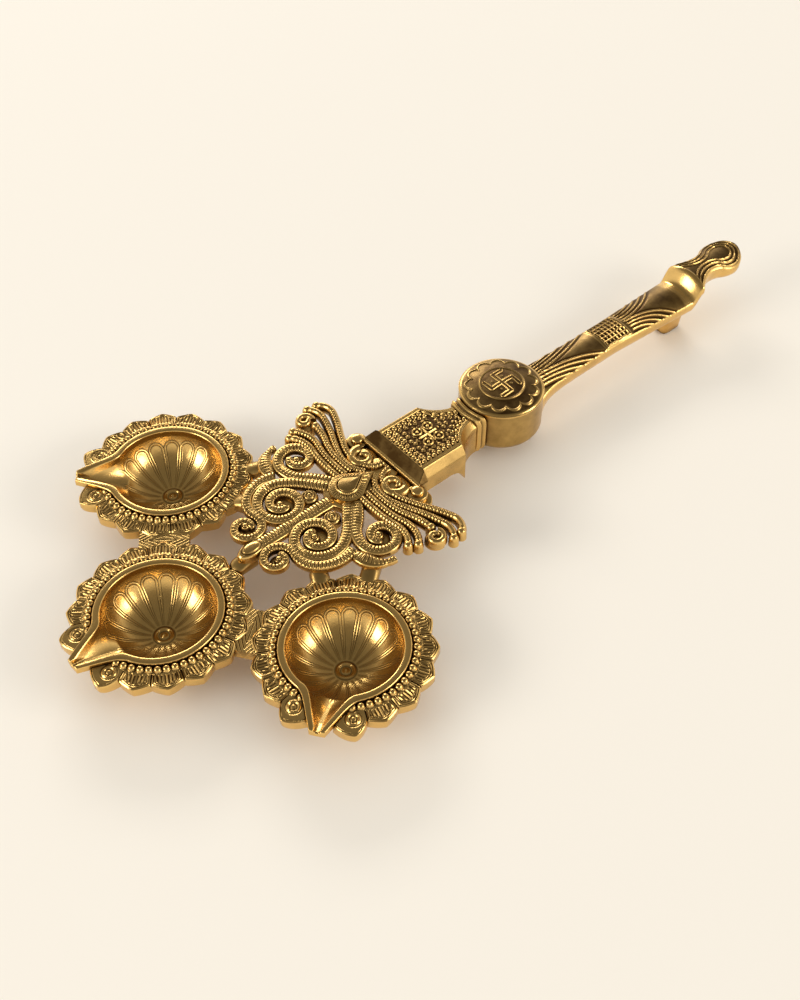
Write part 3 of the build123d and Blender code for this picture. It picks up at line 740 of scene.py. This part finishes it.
def strand(path, width, height, side, plain_end=0.0, low=bracket_low, leaf=False, taper=0.0, sink=0.0,
           crown=0.6, roll=0, tone=0.0):
    """Ribbed strand along a path; taper narrows it, sink flattens its end, and a crown of 1 is half round.

    The smooth roll is on the right of the path where roll is 1 and on the left where it is -1. Tone dulls
    the whole strand.
    """
    total = path[-1, 4]

    def form(u, v):
        x, y, out_x, out_y, length = picked(path, u)
        round_turn = np.where(v < 0.75, v / 1.5, 0.5 + 2 * (v - 0.75)) * 2 * math.pi
        over, up = np.cos(round_turn), np.sin(round_turn)
        half = width / 2 * (1 - taper * length / total)
        to_end = np.minimum(total - length, half) / half
        swell = np.sqrt(np.maximum(1 - (1 - to_end) ** 2, 0.02))
        if leaf:
            swell = np.maximum(np.sin(math.pi * (length / total) ** 0.8), 0.1 + 0.4 * length / total)
        cut = line(np.mod(length / cut_pitch, 1) * cut_pitch - cut_pitch / 2, cut_half_width)
        ribbed = (up > 0) * ease((total - plain_end - length) / 0.5 + 0.5)
        aside = np.abs(over + cut_shift * roll)
        cut = cut * ribbed * ease((cut_reach - aside) / 0.12 + 0.5)
        edge = ribbed * line(aside - cut_reach - 0.06, 0.16)
        across = half * swell * over
        arched = strand_wall + (1 - strand_wall) * np.maximum(up, 0) ** crown
        level = np.where(up > 0, arched, strand_wall * (1 + up)) * (1 - sink * ease(length / total))
        z = low + height * level * (0.55 + 0.45 * swell) - cut_depth * cut - edge_depth * edge
        dull = np.maximum.reduce([0.85 * cut, 0.6 * edge, tone + 0 * u])
        return bracket_x + x + across * out_x, side * (y + across * out_y), z, dull

    return sheet(len(path) - 1, 28, form)


def knob(spot, radius, height, side, rings=(), stretch=1.0, low=bracket_low):
    """Domed knob with engraved rings at the given shares of its radius."""

    def form(u, v):
        turn = 2 * math.pi * u
        share = np.clip(knob_fold * v, 0, 1)
        dome = np.sqrt(np.maximum(1 - share**2.6, 0))
        cut = sum((line(share - ring, 0.14) for ring in rings), 0 * u)
        z = low + np.where(v * knob_fold > 1, 0.0, 0.35 + 0.65 * dome) * height - knob_ring_depth * cut
        x = bracket_x + spot[0] + stretch * radius * share * np.cos(turn)
        return x, side * (spot[1] + radius * share * np.sin(turn)), z, 0.9 * cut

    return sheet(40, 24, form)


def slab(points, low, high):
    """Flat plate with softened upper edges."""
    bm = bmesh.new()
    bm.verts.layers.float.new("patina_and_shade")
    face = bm.faces.new([bm.verts.new((x, y, low)) for x, y in points])
    top = bmesh.ops.extrude_face_region(bm, geom=[face])["geom"]
    raised = [g for g in top if isinstance(g, bmesh.types.BMVert)]
    bmesh.ops.translate(bm, verts=raised, vec=(0, 0, high - low))
    rims = [e for e in bm.edges if all(v.co.z > (low + high) / 2 for v in e.verts)]
    bmesh.ops.bevel(bm, geom=rims, offset=slab_bevel, segments=3, profile=0.5, affect="EDGES", material=-1)
    bmesh.ops.recalc_face_normals(bm, faces=bm.faces[:])
    return bm


# %% [markdown]
# Each half has three scrolls, a rosette beside the rib, five plumes that sweep outwards, a curl among the
# plumes and a plain curl against the shield.

# %% Scrolls and plumes
scroll_height = 3.3
scroll_crown = 0.42
plume_width = 2.85
coil_taper = 0.30
coil_floor = 1.3
plume_height = 3.9
scrolls = [
    dict(root=(39.0, 4.6), heading=128.0, eye=(24.2, 8.9), entry=60.0,
         outer=7.9, inner=2.1, quarters=7, hand=1, width=4.3),
    dict(root=(41.0, 5.8), heading=120.0, eye=(38.0, 20.1), entry=180.0,
         outer=5.9, inner=2.1, quarters=5, hand=-1, width=4.4),
    dict(root=(28.6, 19.4), heading=158.0, eye=(9.7, 8.4), entry=14.0,
         outer=5.0, inner=1.8, quarters=5, hand=-1, width=3.7),
]
plume_routes = [
    [(43.4, 5.0), (43.4, 13.0), (44.4, 20.5), (42.0, 29.0)],
    [(45.8, 5.0), (45.8, 13.5), (47.1, 21.0), (44.6, 30.6)],
    [(48.2, 5.0), (48.0, 12.5), (50.0, 20.5), (51.8, 28.0)],
    [(51.2, 2.2), (48.9, 8.0), (49.8, 13.8), (52.8, 20.7), (56.0, 29.5), (54.2, 35.6)],
    [(57.5, 1.6), (53.0, 4.0), (51.8, 8.6), (53.0, 14.8), (56.5, 21.9), (59.8, 29.0), (57.6, 35.2)],
]
plume_headings = [92.0, 92.0, 97.0, 130.0, 186.0]
plume_plain_ends = [2.5, 0.5, 1.0, 6.5, 6.5]
plume_end_radius = 1.65
rosette_eye = (31.8, 5.6)
rosette_radius = 2.9
curl_inner = 0.9
curl_quarters = 5
curls = [
    dict(eye=(50.4, 31.6), entry=-30.0, outer=2.5,
         width=2.4, taper=0.0, crown=0.6, floor=3.3, floor_drop=1.2),
    dict(eye=(55.0, 7.7), entry=70.0, outer=3.7,
         width=4.2, taper=0.35, crown=1.0, floor=5.2, floor_drop=1.3),
]


def make_scroll(root, heading, eye, entry, outer, inner, quarters, hand, width, side):
    """Strand that leaves its root and winds into a spiral, with a knob in its eye and a thin floor."""
    coil = spiral(np.array(eye), entry, outer, inner, quarters, hand)
    arm = biarc(np.array(root), heading, eye + polar(outer, entry), entry + hand * 90)
    heart = knob(coil[-1][0], inner * 0.85, scroll_height, side, rings=(0.55,))
    floor = knob(eye, 0.62 * outer, coil_floor, side)
    way = trace(arm + coil)
    ribbon = strand(way, width, scroll_height, side, taper=coil_taper, crown=scroll_crown, roll=hand)
    return [ribbon, heart, floor]


def make_curl(eye, entry, outer, width, taper, crown, floor, floor_drop, side):
    """Plain strand that winds up over a floor."""
    way = trace(spiral(np.array(eye), entry, outer, curl_inner, curl_quarters, 1))
    ribbon = strand(way, width, plume_height, side, all_plain, taper=taper, crown=crown)
    return [ribbon, knob(eye, floor, plume_height - floor_drop, side)]


def make_half_bracket(side):
    parts = []
    for shape in scrolls:
        parts += make_scroll(side=side, **shape)
    for route, heading, plain in zip(plume_routes, plume_headings, plume_plain_ends):
        way = trace(through(route, heading))
        parts.append(strand(way, plume_width, plume_height, side, plain, crown=1.0, roll=1))
        parts.append(knob(route[-1], plume_end_radius, plume_height, side))
    parts.append(knob(rosette_eye, rosette_radius, scroll_height, side, rings=(0.62, 0.30)))
    for shape in curls:
        parts += make_curl(side=side, **shape)
    return joined(parts)


add_piece("left_scrolls", make_half_bracket(1), carved_brass, "scroll_bracket")
add_piece("right_scrolls", make_half_bracket(-1), carved_brass, "scroll_bracket")

# %% [markdown]
# A ribbed rib joins the two halves from the bud at the foot to the root plate under the leaf. Short links run
# from the scrolls to the borders of the side cups, where they are brazed, and round lugs carry the rivets.

# %% Rib, bud, links and lugs
link_drop = 3.7
link_half_width = 2.9
link_roots = [(17.0, 17.6), (30.6, 26.0)]
link_overlap = 2.0
rib_start = (4.0, 0.0)
rib_end = (37.0, 0.0)
rib_width = 5.0
rib_height = 3.0
bud_spot = (6.0, 0.0)
bud_radius = 2.9
bud_stretch = 1.75
foot_end = (-2.0, 0.0)
lug_spot = (58.0, 14.6)
lug_radius = 3.3
root_plate = [(35.0, 2.0), (37.0, 6.0), (41.0, 7.4), (47.0, 7.2), (53.0, 6.4), (58.8, 4.4)]
leaf_route = [(28.4, 18.2), (30.2, 26.2), (36.6, 29.6)]
leaf_heading = 98.0
leaf_width = 5.0
leaf_strand_height = 3.2


def on_side(points, side):
    """Points of the bracket's plan on the left or, with y turned over, on the right."""
    return [(bracket_x + x, side * y) for x, y in points]


def straight(start, end, count):
    """Traced path between two points."""
    run = np.subtract(end, start)
    share = np.linspace(0, 1, count)[:, None]
    across = np.array([-run[1], run[0]]) / np.linalg.norm(run)
    return np.hstack([start + share * run, np.tile(across, (count, 1)), share * np.linalg.norm(run)])


def link_bar(start, end, side):
    """Smooth bar that slopes from a scroll down to the top of a border."""
    tall = link_drop + 1.6
    return strand(straight(start, end, 40), 2 * link_half_width, tall, side, all_plain,
                  bracket_low - link_drop, sink=0.32, tone=0.35)


def make_frame_parts():
    rib = strand(straight(rib_start, rib_end, 207), rib_width, rib_height, 1, crown=scroll_crown, roll=-1)
    bud = knob(bud_spot, bud_radius, scroll_height + 0.4, 1, rings=(0.66,), stretch=bud_stretch)
    foot = link_bar(bud_spot, foot_end, 1)
    mirrored = [(x, -y) for x, y in reversed(root_plate)]
    parts = [rib, bud, foot, slab(on_side(root_plate + mirrored, 1), bracket_low, plate_top)]
    cup = np.array([side_spot[0] - bracket_x, side_spot[1]])
    leaf_way = trace(through(leaf_route, leaf_heading))
    for side in (1, -1):
        for start in link_roots:
            way = (cup - start) / np.linalg.norm(cup - start)
            parts.append(link_bar(start, cup - way * (valley_radius - link_overlap), side))
        parts.append(strand(leaf_way, leaf_width, leaf_strand_height, side, leaf=True))
        ring = [lug_spot + polar(lug_radius, angle) for angle in range(0, 360, 15)]
        parts.append(slab(on_side(ring, side), bracket_low, plate_top))
    return joined(parts)


add_piece("bracket_frame", make_frame_parts(), carved_brass, "scroll_bracket")

# %% [markdown]
# The leaf that covers the root is a domed drop. A plain drop lies in its middle, and cuts radiate from it.

# %% Leaf
leaf_radius = 5.8
leaf_x = bracket_x + 36.5 + leaf_radius
leaf_point = 10.2
leaf_shoulder = math.radians(70.0)
leaf_height = 3.0
leaf_cuts = 34
leaf_cut_depth = 0.28
leaf_fold = 1.12
drop_share = 0.54


def leaf_edge(turn):
    """Distance from the leaf's middle to its edge."""
    shoulder = leaf_radius * np.array([math.cos(leaf_shoulder), math.sin(leaf_shoulder)])
    normal = np.array([shoulder[1], leaf_point - shoulder[0]])
    normal /= np.linalg.norm(normal)
    flat_side = normal[0] * leaf_point / (normal[0] * np.cos(turn) + normal[1] * np.abs(np.sin(turn)))
    return np.where(np.abs(turn) < leaf_shoulder, flat_side, leaf_radius)


def leaf_form(u, v):
    turn = (2 * u - 1) * math.pi
    share = np.clip(leaf_fold * v, 0, 1)
    reach = leaf_edge(turn) * share
    hatch = np.mod(turn * leaf_cuts / (2 * math.pi), 1) - 0.5
    cut = line(hatch, 0.28) * ease((share - 0.62) / 0.05) * ease((0.93 - share) / 0.05)
    outline = line(share - drop_share, 0.05)
    dome = leaf_height * (1 - 0.55 * share**2) + 0.25 * line(share - 0.60, 0.06)
    dome -= 0.3 * outline + leaf_cut_depth * cut
    z = np.where(leaf_fold * v > 1, plate_top, plate_top + dome)
    dull = np.maximum(0.9 * cut, 0.8 * outline) + 0.55 * ease((0.5 - share) / 0.05)
    return leaf_x + reach * np.cos(turn), reach * np.sin(turn), z, dull


add_piece("leaf_boss", sheet(272, 64, leaf_form), carved_brass, "leaf_boss")

# %% [markdown]
# ## Shield
# The shield is a thick plate with a plain sloping brow, painted dark as a painted dark reflection, and a
# sunk panel. The panel is edged by two rows of pebbles and filled with flatter ones, and in the middle lies a
# flower of four blades with a ringed bud between each two. Its flanks are hollowed down to the neck, and the
# wall is deeper from there on.

# %% Shield sizes and outline
shield_x = bracket_x + 59.0
shield_length = 33.8
brow_length = 4.4
brow_half_width = 13.6
shield_half_width = 12.8
flank_start = 20.8
neck_start = 30.5
neck_half_width = 6.2
neck_overrun = 3.0
shield_low = rim - 4.0
shield_deep = rim - 9.5
shield_edge = rim + 1.5
shield_crown = rim + 4.6
neck_crown = rim + 3.6
bevel_width = 2.0
throat_start = 13.0
flank = bow((flank_start, shield_half_width), (neck_start, neck_half_width), -1.4, 16)
throat = bow((throat_start, shield_low), (flank_start, shield_deep), 2.0, 12)


def shield_half(x):
    """Half width of the shield at a place along it."""
    marks = np.concatenate([[0, brow_length - 0.15, brow_length + 0.15], flank[:, 0]])
    widths = np.concatenate([[brow_half_width, brow_half_width, shield_half_width], flank[:, 1]])
    return np.interp(x, marks, widths)


def loop_rows(top_count, wall=((1.0, 0.0), (1.0, 0.25), (1.0, 0.6), (1.0, 0.9))):
    """Rows round a bar, as shares of its half width and of its height, from the keel and back to it."""
    right = [(0.0, 0.0)] + list(wall)
    top = [(share, 1.0) for share in np.linspace(1, -1, top_count)]
    left = [(-share, level) for share, level in reversed(right)]
    return np.array(right + top + left)


print("shield from", round(shield_x, 1), "to", round(shield_x + shield_length, 1))

# %% Shield carving
panel_margin = 3.3
row_pitch = 2.05
row_insets = (1.05, 2.55)
row_radii = (0.92, 0.66)
field_start = 3.2
pebble_pitch = 2.0
pebble_radius = 0.80
pebble_flatness = 0.75
pebble_seed = 7
panel_depth = 0.55
flower_x = 16.0
bud_reach = 3.5
ring_bud_radius = 1.9
blade_length = 3.2
far = 9.0
quarter_ways = ((1, 0), (0, 1), (-1, 0), (0, -1))


def pebbles(x, y):
    """Distance from each point to the nearest pebble of a jittered field."""
    random = np.random.default_rng(pebble_seed)
    columns, rows = np.meshgrid(np.arange(0, 36, pebble_pitch), np.arange(-14, 14, pebble_pitch))
    columns, rows = columns.ravel(), rows.ravel()
    spots = np.stack([columns, rows + (columns / pebble_pitch % 2) * pebble_pitch / 2], axis=1)
    spots += random.uniform(-0.2, 0.2, spots.shape) * pebble_pitch
    gap = np.full(x.shape, far)
    for spot in spots:
        gap = np.minimum(gap, np.hypot(x - spot[0], y - spot[1]))
    return gap


def shield_carving(x, y, half):
    """Relief and darkening on top of the shield: patina in the hollows and a painted dark reflection on the
    brow.
    """
    side_gap = half - np.abs(y) - panel_margin
    brow_gap = x - brow_length - 0.3
    inner = np.minimum(side_gap, brow_gap)
    in_panel = ease(inner / 0.3) * ease((neck_start + 2.5 - x) / 0.5)
    along = np.where(side_gap < brow_gap, x, y) / row_pitch
    edging = 0 * x
    for count, (inset, radius) in enumerate(zip(row_insets, row_radii)):
        aside = (np.mod(along + count / 2, 1) - 0.5) * row_pitch
        edging = np.maximum(edging, swelling(np.hypot(inner - inset, aside), radius))
    field = pebble_flatness * swelling(pebbles(x, y), pebble_radius)
    dome = np.where(inner < field_start, edging, field)
    quiet = ease((inner - 3.1) / 0.4)
    ring, stem = far + 0 * x, far + 0 * x
    for angle in (52, 128, -52, -128):
        centre = polar(bud_reach, angle)
        ring = np.minimum(ring, np.hypot(x - flower_x - centre[0], y - centre[1]))
    for way in quarter_ways:
        ahead = np.clip((x - flower_x) * way[0] + y * way[1], 0, blade_length)
        stem = np.minimum(stem, np.hypot(x - flower_x - ahead * way[0], y - ahead * way[1]))
    in_flower = ease((ring_bud_radius + 0.6 - ring) / 0.3) + ease((1.3 - stem) / 0.3)
    in_flower = np.clip(in_flower, 0, 1)
    blades = 0.7 * line(stem, 0.65) * (ring > ring_bud_radius)
    flower = 0.6 * line(ring - 1.5, 0.5) + 0.85 * line(ring, 0.85) + blades
    relief = in_panel * (0.8 * (1 - in_flower) * dome + in_flower * np.minimum(flower, 0.8) - panel_depth)
    dull = in_panel * ((1 - in_flower) * ease(1 - dome / 0.42) + in_flower * ease(1 - flower / 0.4))
    relief += 0.35 * line(x - 0.3, 0.4)
    # The brow's dark colour is a painted dark reflection; the bevelled margin is made a little darker too.
    brow = ease((x - 0.8) / 0.3) * ease((brow_length + 0.3 - x) / 0.3)
    bevel = ease((bevel_width + 0.6 - half + np.abs(y)) / 0.4) * (x > brow_length)
    dull = 0.95 * dull + 0.25 * in_panel * quiet * (1 - in_flower) + 0.85 * brow + 0.38 * bevel
    return relief, np.clip(dull, 0, 1)


print("pebbles across the field:", round(2 * shield_half_width / pebble_pitch, 1))

# %% Shield
shield_rows = loop_rows(150)
shield_columns = 270


def shield_form(u, v):
    x = u * (shield_length + neck_overrun)
    share, level = picked(shield_rows, v)
    half = shield_half(x)
    y = share * half
    crown = np.interp(x, [flank_start, neck_start], [shield_crown, neck_crown])
    bevel = np.minimum(x / brow_length, (half - np.abs(y)) / bevel_width)
    relief, dull = shield_carving(x, y, half)
    top = shield_edge + (crown - shield_edge) * np.clip(bevel, 0, 1) + relief
    bottom = np.interp(x, throat[:, 0], throat[:, 1])
    return shield_x + x, y, bottom + level * (top - bottom), np.where(level > 0.95, dull, 0.15)


add_piece("shield", sheet(shield_columns, len(shield_rows) - 1, shield_form), carved_brass, "shield")

# %% Ears and tongue under the bracket
ear_half_span = 19.5
ear_radius = 4.3
tongue_length = 16.0
tongue_half_width = 6.0
ear_x = shield_x - 1.0
ear = [(ear_x, ear_half_span - ear_radius) + polar(ear_radius, angle) for angle in range(0, 181, 15)]
ear_loop = [tuple(p) for p in ear] + [(x, -y) for x, y in reversed(ear)]
tongue = [
    (shield_x - tongue_length, -tongue_half_width), (shield_x, -tongue_half_width),
    (shield_x, tongue_half_width), (shield_x - tongue_length, tongue_half_width),
]
lap = [slab(ear_loop, shield_low, bracket_low), slab(tongue, shield_low, bracket_low - 0.02)]
add_piece("shield_ears", joined(lap), carved_brass, "shield")

# %% Rivets
head_radius = 2.1
head_height = 1.7
tail_radius = 1.7
tail_height = 0.7
rivet_parts = []
for side in (1, -1):
    rivet_parts.append(knob(lug_spot, head_radius, head_height, side, low=plate_top))
    rivet_parts.append(knob(lug_spot, tail_radius, -tail_height, side, low=shield_low))
add_piece("bracket_rivets", joined(rivet_parts), polished_brass, "bracket_rivets")

# %% [markdown]
# ## Collar, hub and medallion
# The neck passes through a collar with two ridges, bent to the hub's edge, into the hub, a short drum. On the
# drum lies the medallion: a raised ring, a scalloped line with thirteen lobes, and in the ring the old Indian
# sign of good fortune, a cross with bent arms drawn in double lines, with a dot in each quarter.

# %% Collar
hub_radius = 14.0
hub_x = shield_x + shield_length + hub_radius
hub_low = rim - 10.8
hub_top = rim + 4.0
medallion_radius = 14.0
collar_length = 3.7
collar_x = hub_x - medallion_radius - 0.15 - collar_length
collar_corner = 0.3


def collar_form(u, v):
    turn = 2 * math.pi * v
    swell = 0.30 + 0.60 * (line(u - 0.22, 0.24) + line(u - 0.78, 0.24))
    tall = (neck_crown - shield_deep) / 2
    y = (neck_half_width + swell) * squared(np.cos(turn), collar_corner)
    z = (neck_crown + shield_deep) / 2 + (tall + swell) * squared(np.sin(turn), collar_corner)
    hollow = medallion_radius - np.sqrt(medallion_radius**2 - y**2)
    return collar_x + u * collar_length + hollow, y, z, 0.8 * line(u - 0.5, 0.2)


add_piece("neck_collar", sheet(24, 96, collar_form), carved_brass, "neck_collar")

# %% Hub
hub_edge = bow((hub_radius - 2.2, hub_low), (hub_radius - 0.1, hub_low + 3.0), -0.7, 10)
hub_rows = np.concatenate([[(0.0, hub_low)], hub_edge, [(hub_radius - 0.05, hub_top), (0.0, hub_top)]])


def hub_form(u, v):
    """Upright drum wall with a soft lower edge."""
    turn = 2 * math.pi * u
    radius, z = picked(hub_rows, v)
    # The drum wall is made evenly half dark.
    return hub_x + radius * np.cos(turn), radius * np.sin(turn), z, 0.42 + 0 * u


add_piece("medallion_hub", sheet(128, len(hub_rows) - 1, hub_form), polished_brass, "medallion_hub")

# %% Medallion
medallion_edge = 1.3
medallion_rise = 3.4
medallion_fold = 1.06
ground_depth = 0.37
line_height = 0.36
ring_radius = 7.3
scallops = 13
scallop_valley = 10.1
scallop_reach = 1.9
sign_arm = 4.5
sign_bend = 3.7
sign_half_band = 0.62
dot_reach = 2.2


def sign_gap(x, y):
    """Distance to the arms of the sign and to its dots."""
    arms, dots = far + 0 * x, far + 0 * x
    for c, s in quarter_ways:
        along, across = c * x + s * y, -s * x + c * y
        arm = np.hypot(along - np.clip(along, 0, sign_arm), across)
        bend = np.hypot(along - sign_arm, across + np.clip(-across, 0, sign_bend))
        arms = np.minimum(arms, np.minimum(arm, bend))
        dots = np.minimum(dots, np.hypot(along - dot_reach, across - dot_reach))
    return arms, dots


def medallion_form(u, v):
    turn = 2 * math.pi * u
    radius = medallion_radius * np.clip(v * medallion_fold, 0, 1)
    x, y = radius * np.cos(turn), radius * np.sin(turn)
    wave = scallop_valley + scallop_reach * np.abs(np.cos(scallops * turn / 2)) ** 0.7
    scallop = line(radius - wave, 0.68)
    ring = line(radius - ring_radius, 0.5)
    arms, dots = sign_gap(x, y)
    sign = line(arms - sign_half_band, 0.34) + line(dots, 0.55)
    raised = np.clip(np.maximum.reduce([scallop, ring, sign]), 0, 1)
    dome = medallion_edge + (medallion_rise - medallion_edge) * (1 - (radius / medallion_radius) ** 2)
    top = hub_top + dome - ground_depth + line_height * raised
    top -= 0.35 * ease((radius - medallion_radius + 0.7) / 0.7)
    z = np.where(v * medallion_fold > 1, hub_top, top)
    dull = 0.8 * (1 - raised) * ease((medallion_radius - 0.6 - radius) / 0.6)
    return hub_x + x, y, z, dull


add_piece("medallion", sheet(416, 106, medallion_form), carved_brass, "medallion")

# %% [markdown]
# ## Bar handle
# The bar flares into the drum, and its crown carries two fans of ridges with a lattice panel between them. A
# smooth step leads up to the tip, where three lines run in from each side, draw together in the neck and
# close round a plain drop.

# %% Bar sizes
bar_x = hub_x + hub_radius
ramp_x = bar_x + 71.7
tip_x = ramp_x + 5.0
end_x = tip_x + 24.69
ramp_rise = 5.1
bar_crown = rim + 0.9
bar_low = bar_crown - 8.0
bar_crown_radius = 12.5
bar_crown_reach = 10.0
bar_start = bar_x - 4.5
drum_flare = 3.7
lobe_reach = 7.6
lobe_x = end_x - lobe_reach
lobe_start = lobe_x - 4.9
tip_neck = bow((tip_x, 8.3), (lobe_start, 5.8), -2.1, 20)


def bar_half(x):
    """Half width of the bar: flared at the drum, waisted, shouldered, necked and round at the end."""
    marks = np.concatenate([[bar_x, (bar_x + ramp_x) / 2, ramp_x], tip_neck[:, 0]])
    widths = np.concatenate([[6.3, 6.1, 8.0], tip_neck[:, 1]])
    flare = drum_flare * np.exp(-np.maximum(x - bar_start, 0) / 4.6)
    return np.where(x > lobe_start, swelling(x - lobe_x, lobe_reach), np.interp(x, marks, widths) + flare)


# %% Bar carving
fan_starts = (bar_x + 0.3, bar_x + 43.6)
fan_reach = (29.0, 20.5)
fan_ridges = 4
fan_pitch = 1.35
fan_bend = 2.4
lattice_start = bar_x + 31.1
lattice_length = 11.5
lattice_half = 5.4
lattice_pitch = 1.65
lattice_shift = 0.75
tip_rim = 1.0
tip_line_pitch = 1.5


def fans(x, y, half):
    """Ridges that leave the middle of the bar and curve out to its edges."""
    ridge, cut = 0 * x, 0 * x
    for start, reach in zip(fan_starts, fan_reach):
        for count in range(fan_ridges):
            root_y = 0.5 + fan_pitch * count
            length = reach * (1 - 0.17 * count)
            share = np.clip((x - start) / length, 0, 1)
            way = root_y + (half + 0.3 - root_y) * share**fan_bend
            slope = (half - root_y) * fan_bend * share ** (fan_bend - 1) / length
            gap = (np.abs(y) - way) / np.sqrt(1 + slope**2)
            there = ease((x - start) / 1.0) * ease((start + length + 0.5 - x) / 0.8)
            ridge = np.maximum(ridge, line(gap, 0.46) * there)
            for aside in (gap - 0.75, gap + 0.75):
                cut = np.maximum(cut, line(aside, 0.5) * there)
    return ridge, cut


def lattice(x, y):
    """Crossed lines in a double frame."""
    middle = lattice_start + lattice_length / 2
    inside = np.minimum(lattice_half - np.abs(y), lattice_length / 2 - np.abs(x - middle))
    frame_line = np.maximum(line(inside, 0.34), line(inside + 0.95, 0.30) * (x < lattice_start + 0.4))
    wires = 0 * x
    for across in (x - lattice_start, y + lattice_shift):
        wires = np.maximum(wires, line(np.mod(across, lattice_pitch) - lattice_pitch / 2, 0.3))
    within = ease((inside - 0.35) / 0.2)
    return np.maximum(frame_line, wires * within), within


def tip_lines(x, y, half):
    """Three lines each side of the tip that draw together at the neck and close round the lobe."""
    ridge = 0 * x
    lobe_gap = np.hypot(np.minimum(x - lobe_x, 0) * 0.8 + np.maximum(x - lobe_x, 0), y)
    for count in range(3):
        inset = tip_rim + tip_line_pitch * count
        along = np.abs(np.abs(y) - np.maximum(half - inset, 0.15))
        gap = np.where(x > lobe_x, lobe_gap - (lobe_reach - inset), along)
        ridge = np.maximum(ridge, line(gap, 0.45))
    return ridge * ease((x - tip_x - 0.2) / 0.8)


print("ridges in a fan:", 2 * fan_ridges)

# %% Bar
bar_wall = ((0.35, 0.0), (0.68, 0.06), (0.86, 0.2), (0.96, 0.42), (1.0, 0.66), (1.0, 0.9))
bar_rows = loop_rows(72, bar_wall)
bar_end = lobe_x + lobe_reach * np.sin(np.linspace(0, math.pi / 2, 41)[1:])
bar_columns = np.concatenate([np.linspace(bar_start, lobe_x, 300), bar_end])


def bar_form(u, v):
    x = picked(bar_columns, u)
    share, level = picked(bar_rows, v)
    at_drum = np.exp(-np.maximum(x - bar_x + 3.0, 0) / 4.5)
    squarer = np.where(level < 0.95, 1 - 0.6 * at_drum, 1)
    half = bar_half(x)
    y = half * np.sign(share) * np.abs(share) ** squarer
    lift = ramp_rise * ease((x - ramp_x) / (tip_x - ramp_x))
    ridge, cut = fans(x, y, half)
    wires, within = lattice(x, y)
    loops = tip_lines(x, y, half)
    on_tip = ease((x - tip_x) / 0.8)
    relief = 0.28 * ridge - 0.25 * cut * (1 - ridge) + 0.25 * wires - 0.22 * within * (1 - wires)
    relief += 0.30 * loops - 0.25 * on_tip * (1 - loops)
    relief -= 0.4 * (1 - ease((half - np.abs(y)) / 0.5))
    arch = swelling(np.minimum(np.abs(y), bar_crown_reach), bar_crown_radius) - bar_crown_radius
    top = bar_crown + lift + arch + relief - 0.2
    ground = ease((x - bar_x + 0.5) / 2) * ease((ramp_x - 1.5 - x) / 2)
    dull = 0.95 * np.maximum(cut, within) + 0.72 * ground
    dull = np.maximum(dull, 0.75 * on_tip) * (1 - np.maximum.reduce([ridge, wires, loops]))
    dull = dull * ease((half - np.abs(y) - 0.2) / 0.5) * (level > 0.95)
    keel = bar_low + lift - 3.4 * at_drum
    return x, y, keel + level * (top - keel), dull


bar_sheet = sheet(len(bar_columns) - 1, len(bar_rows) - 1, bar_form)
add_piece("handle_bar", bar_sheet, carved_brass, "handle_bar")

# %% [markdown]
# A small lug under the bar's end holds the handle level on the table.

# %% Foot
foot_x = ramp_x - 2.5
foot_half_length = 5.0
foot_half_width = 4.0
foot_taper = math.tan(math.radians(5.0))
foot_corner = 0.45


def foot_form(u, v):
    turn = 2 * math.pi * v
    z = (1 - u) * (bar_low + 1.0)
    narrow = foot_taper * (bar_low - z)
    soft = 0.35 * ease((0.6 - z) / 0.6)
    x = foot_x + (foot_half_length - narrow - soft) * squared(np.cos(turn), foot_corner)
    y = (foot_half_width - narrow - soft) * squared(np.sin(turn), foot_corner)
    return x, y, z, 0.1 + 0 * u


add_piece("handle_foot", sheet(24, 72, foot_form), polished_brass, "handle_foot")
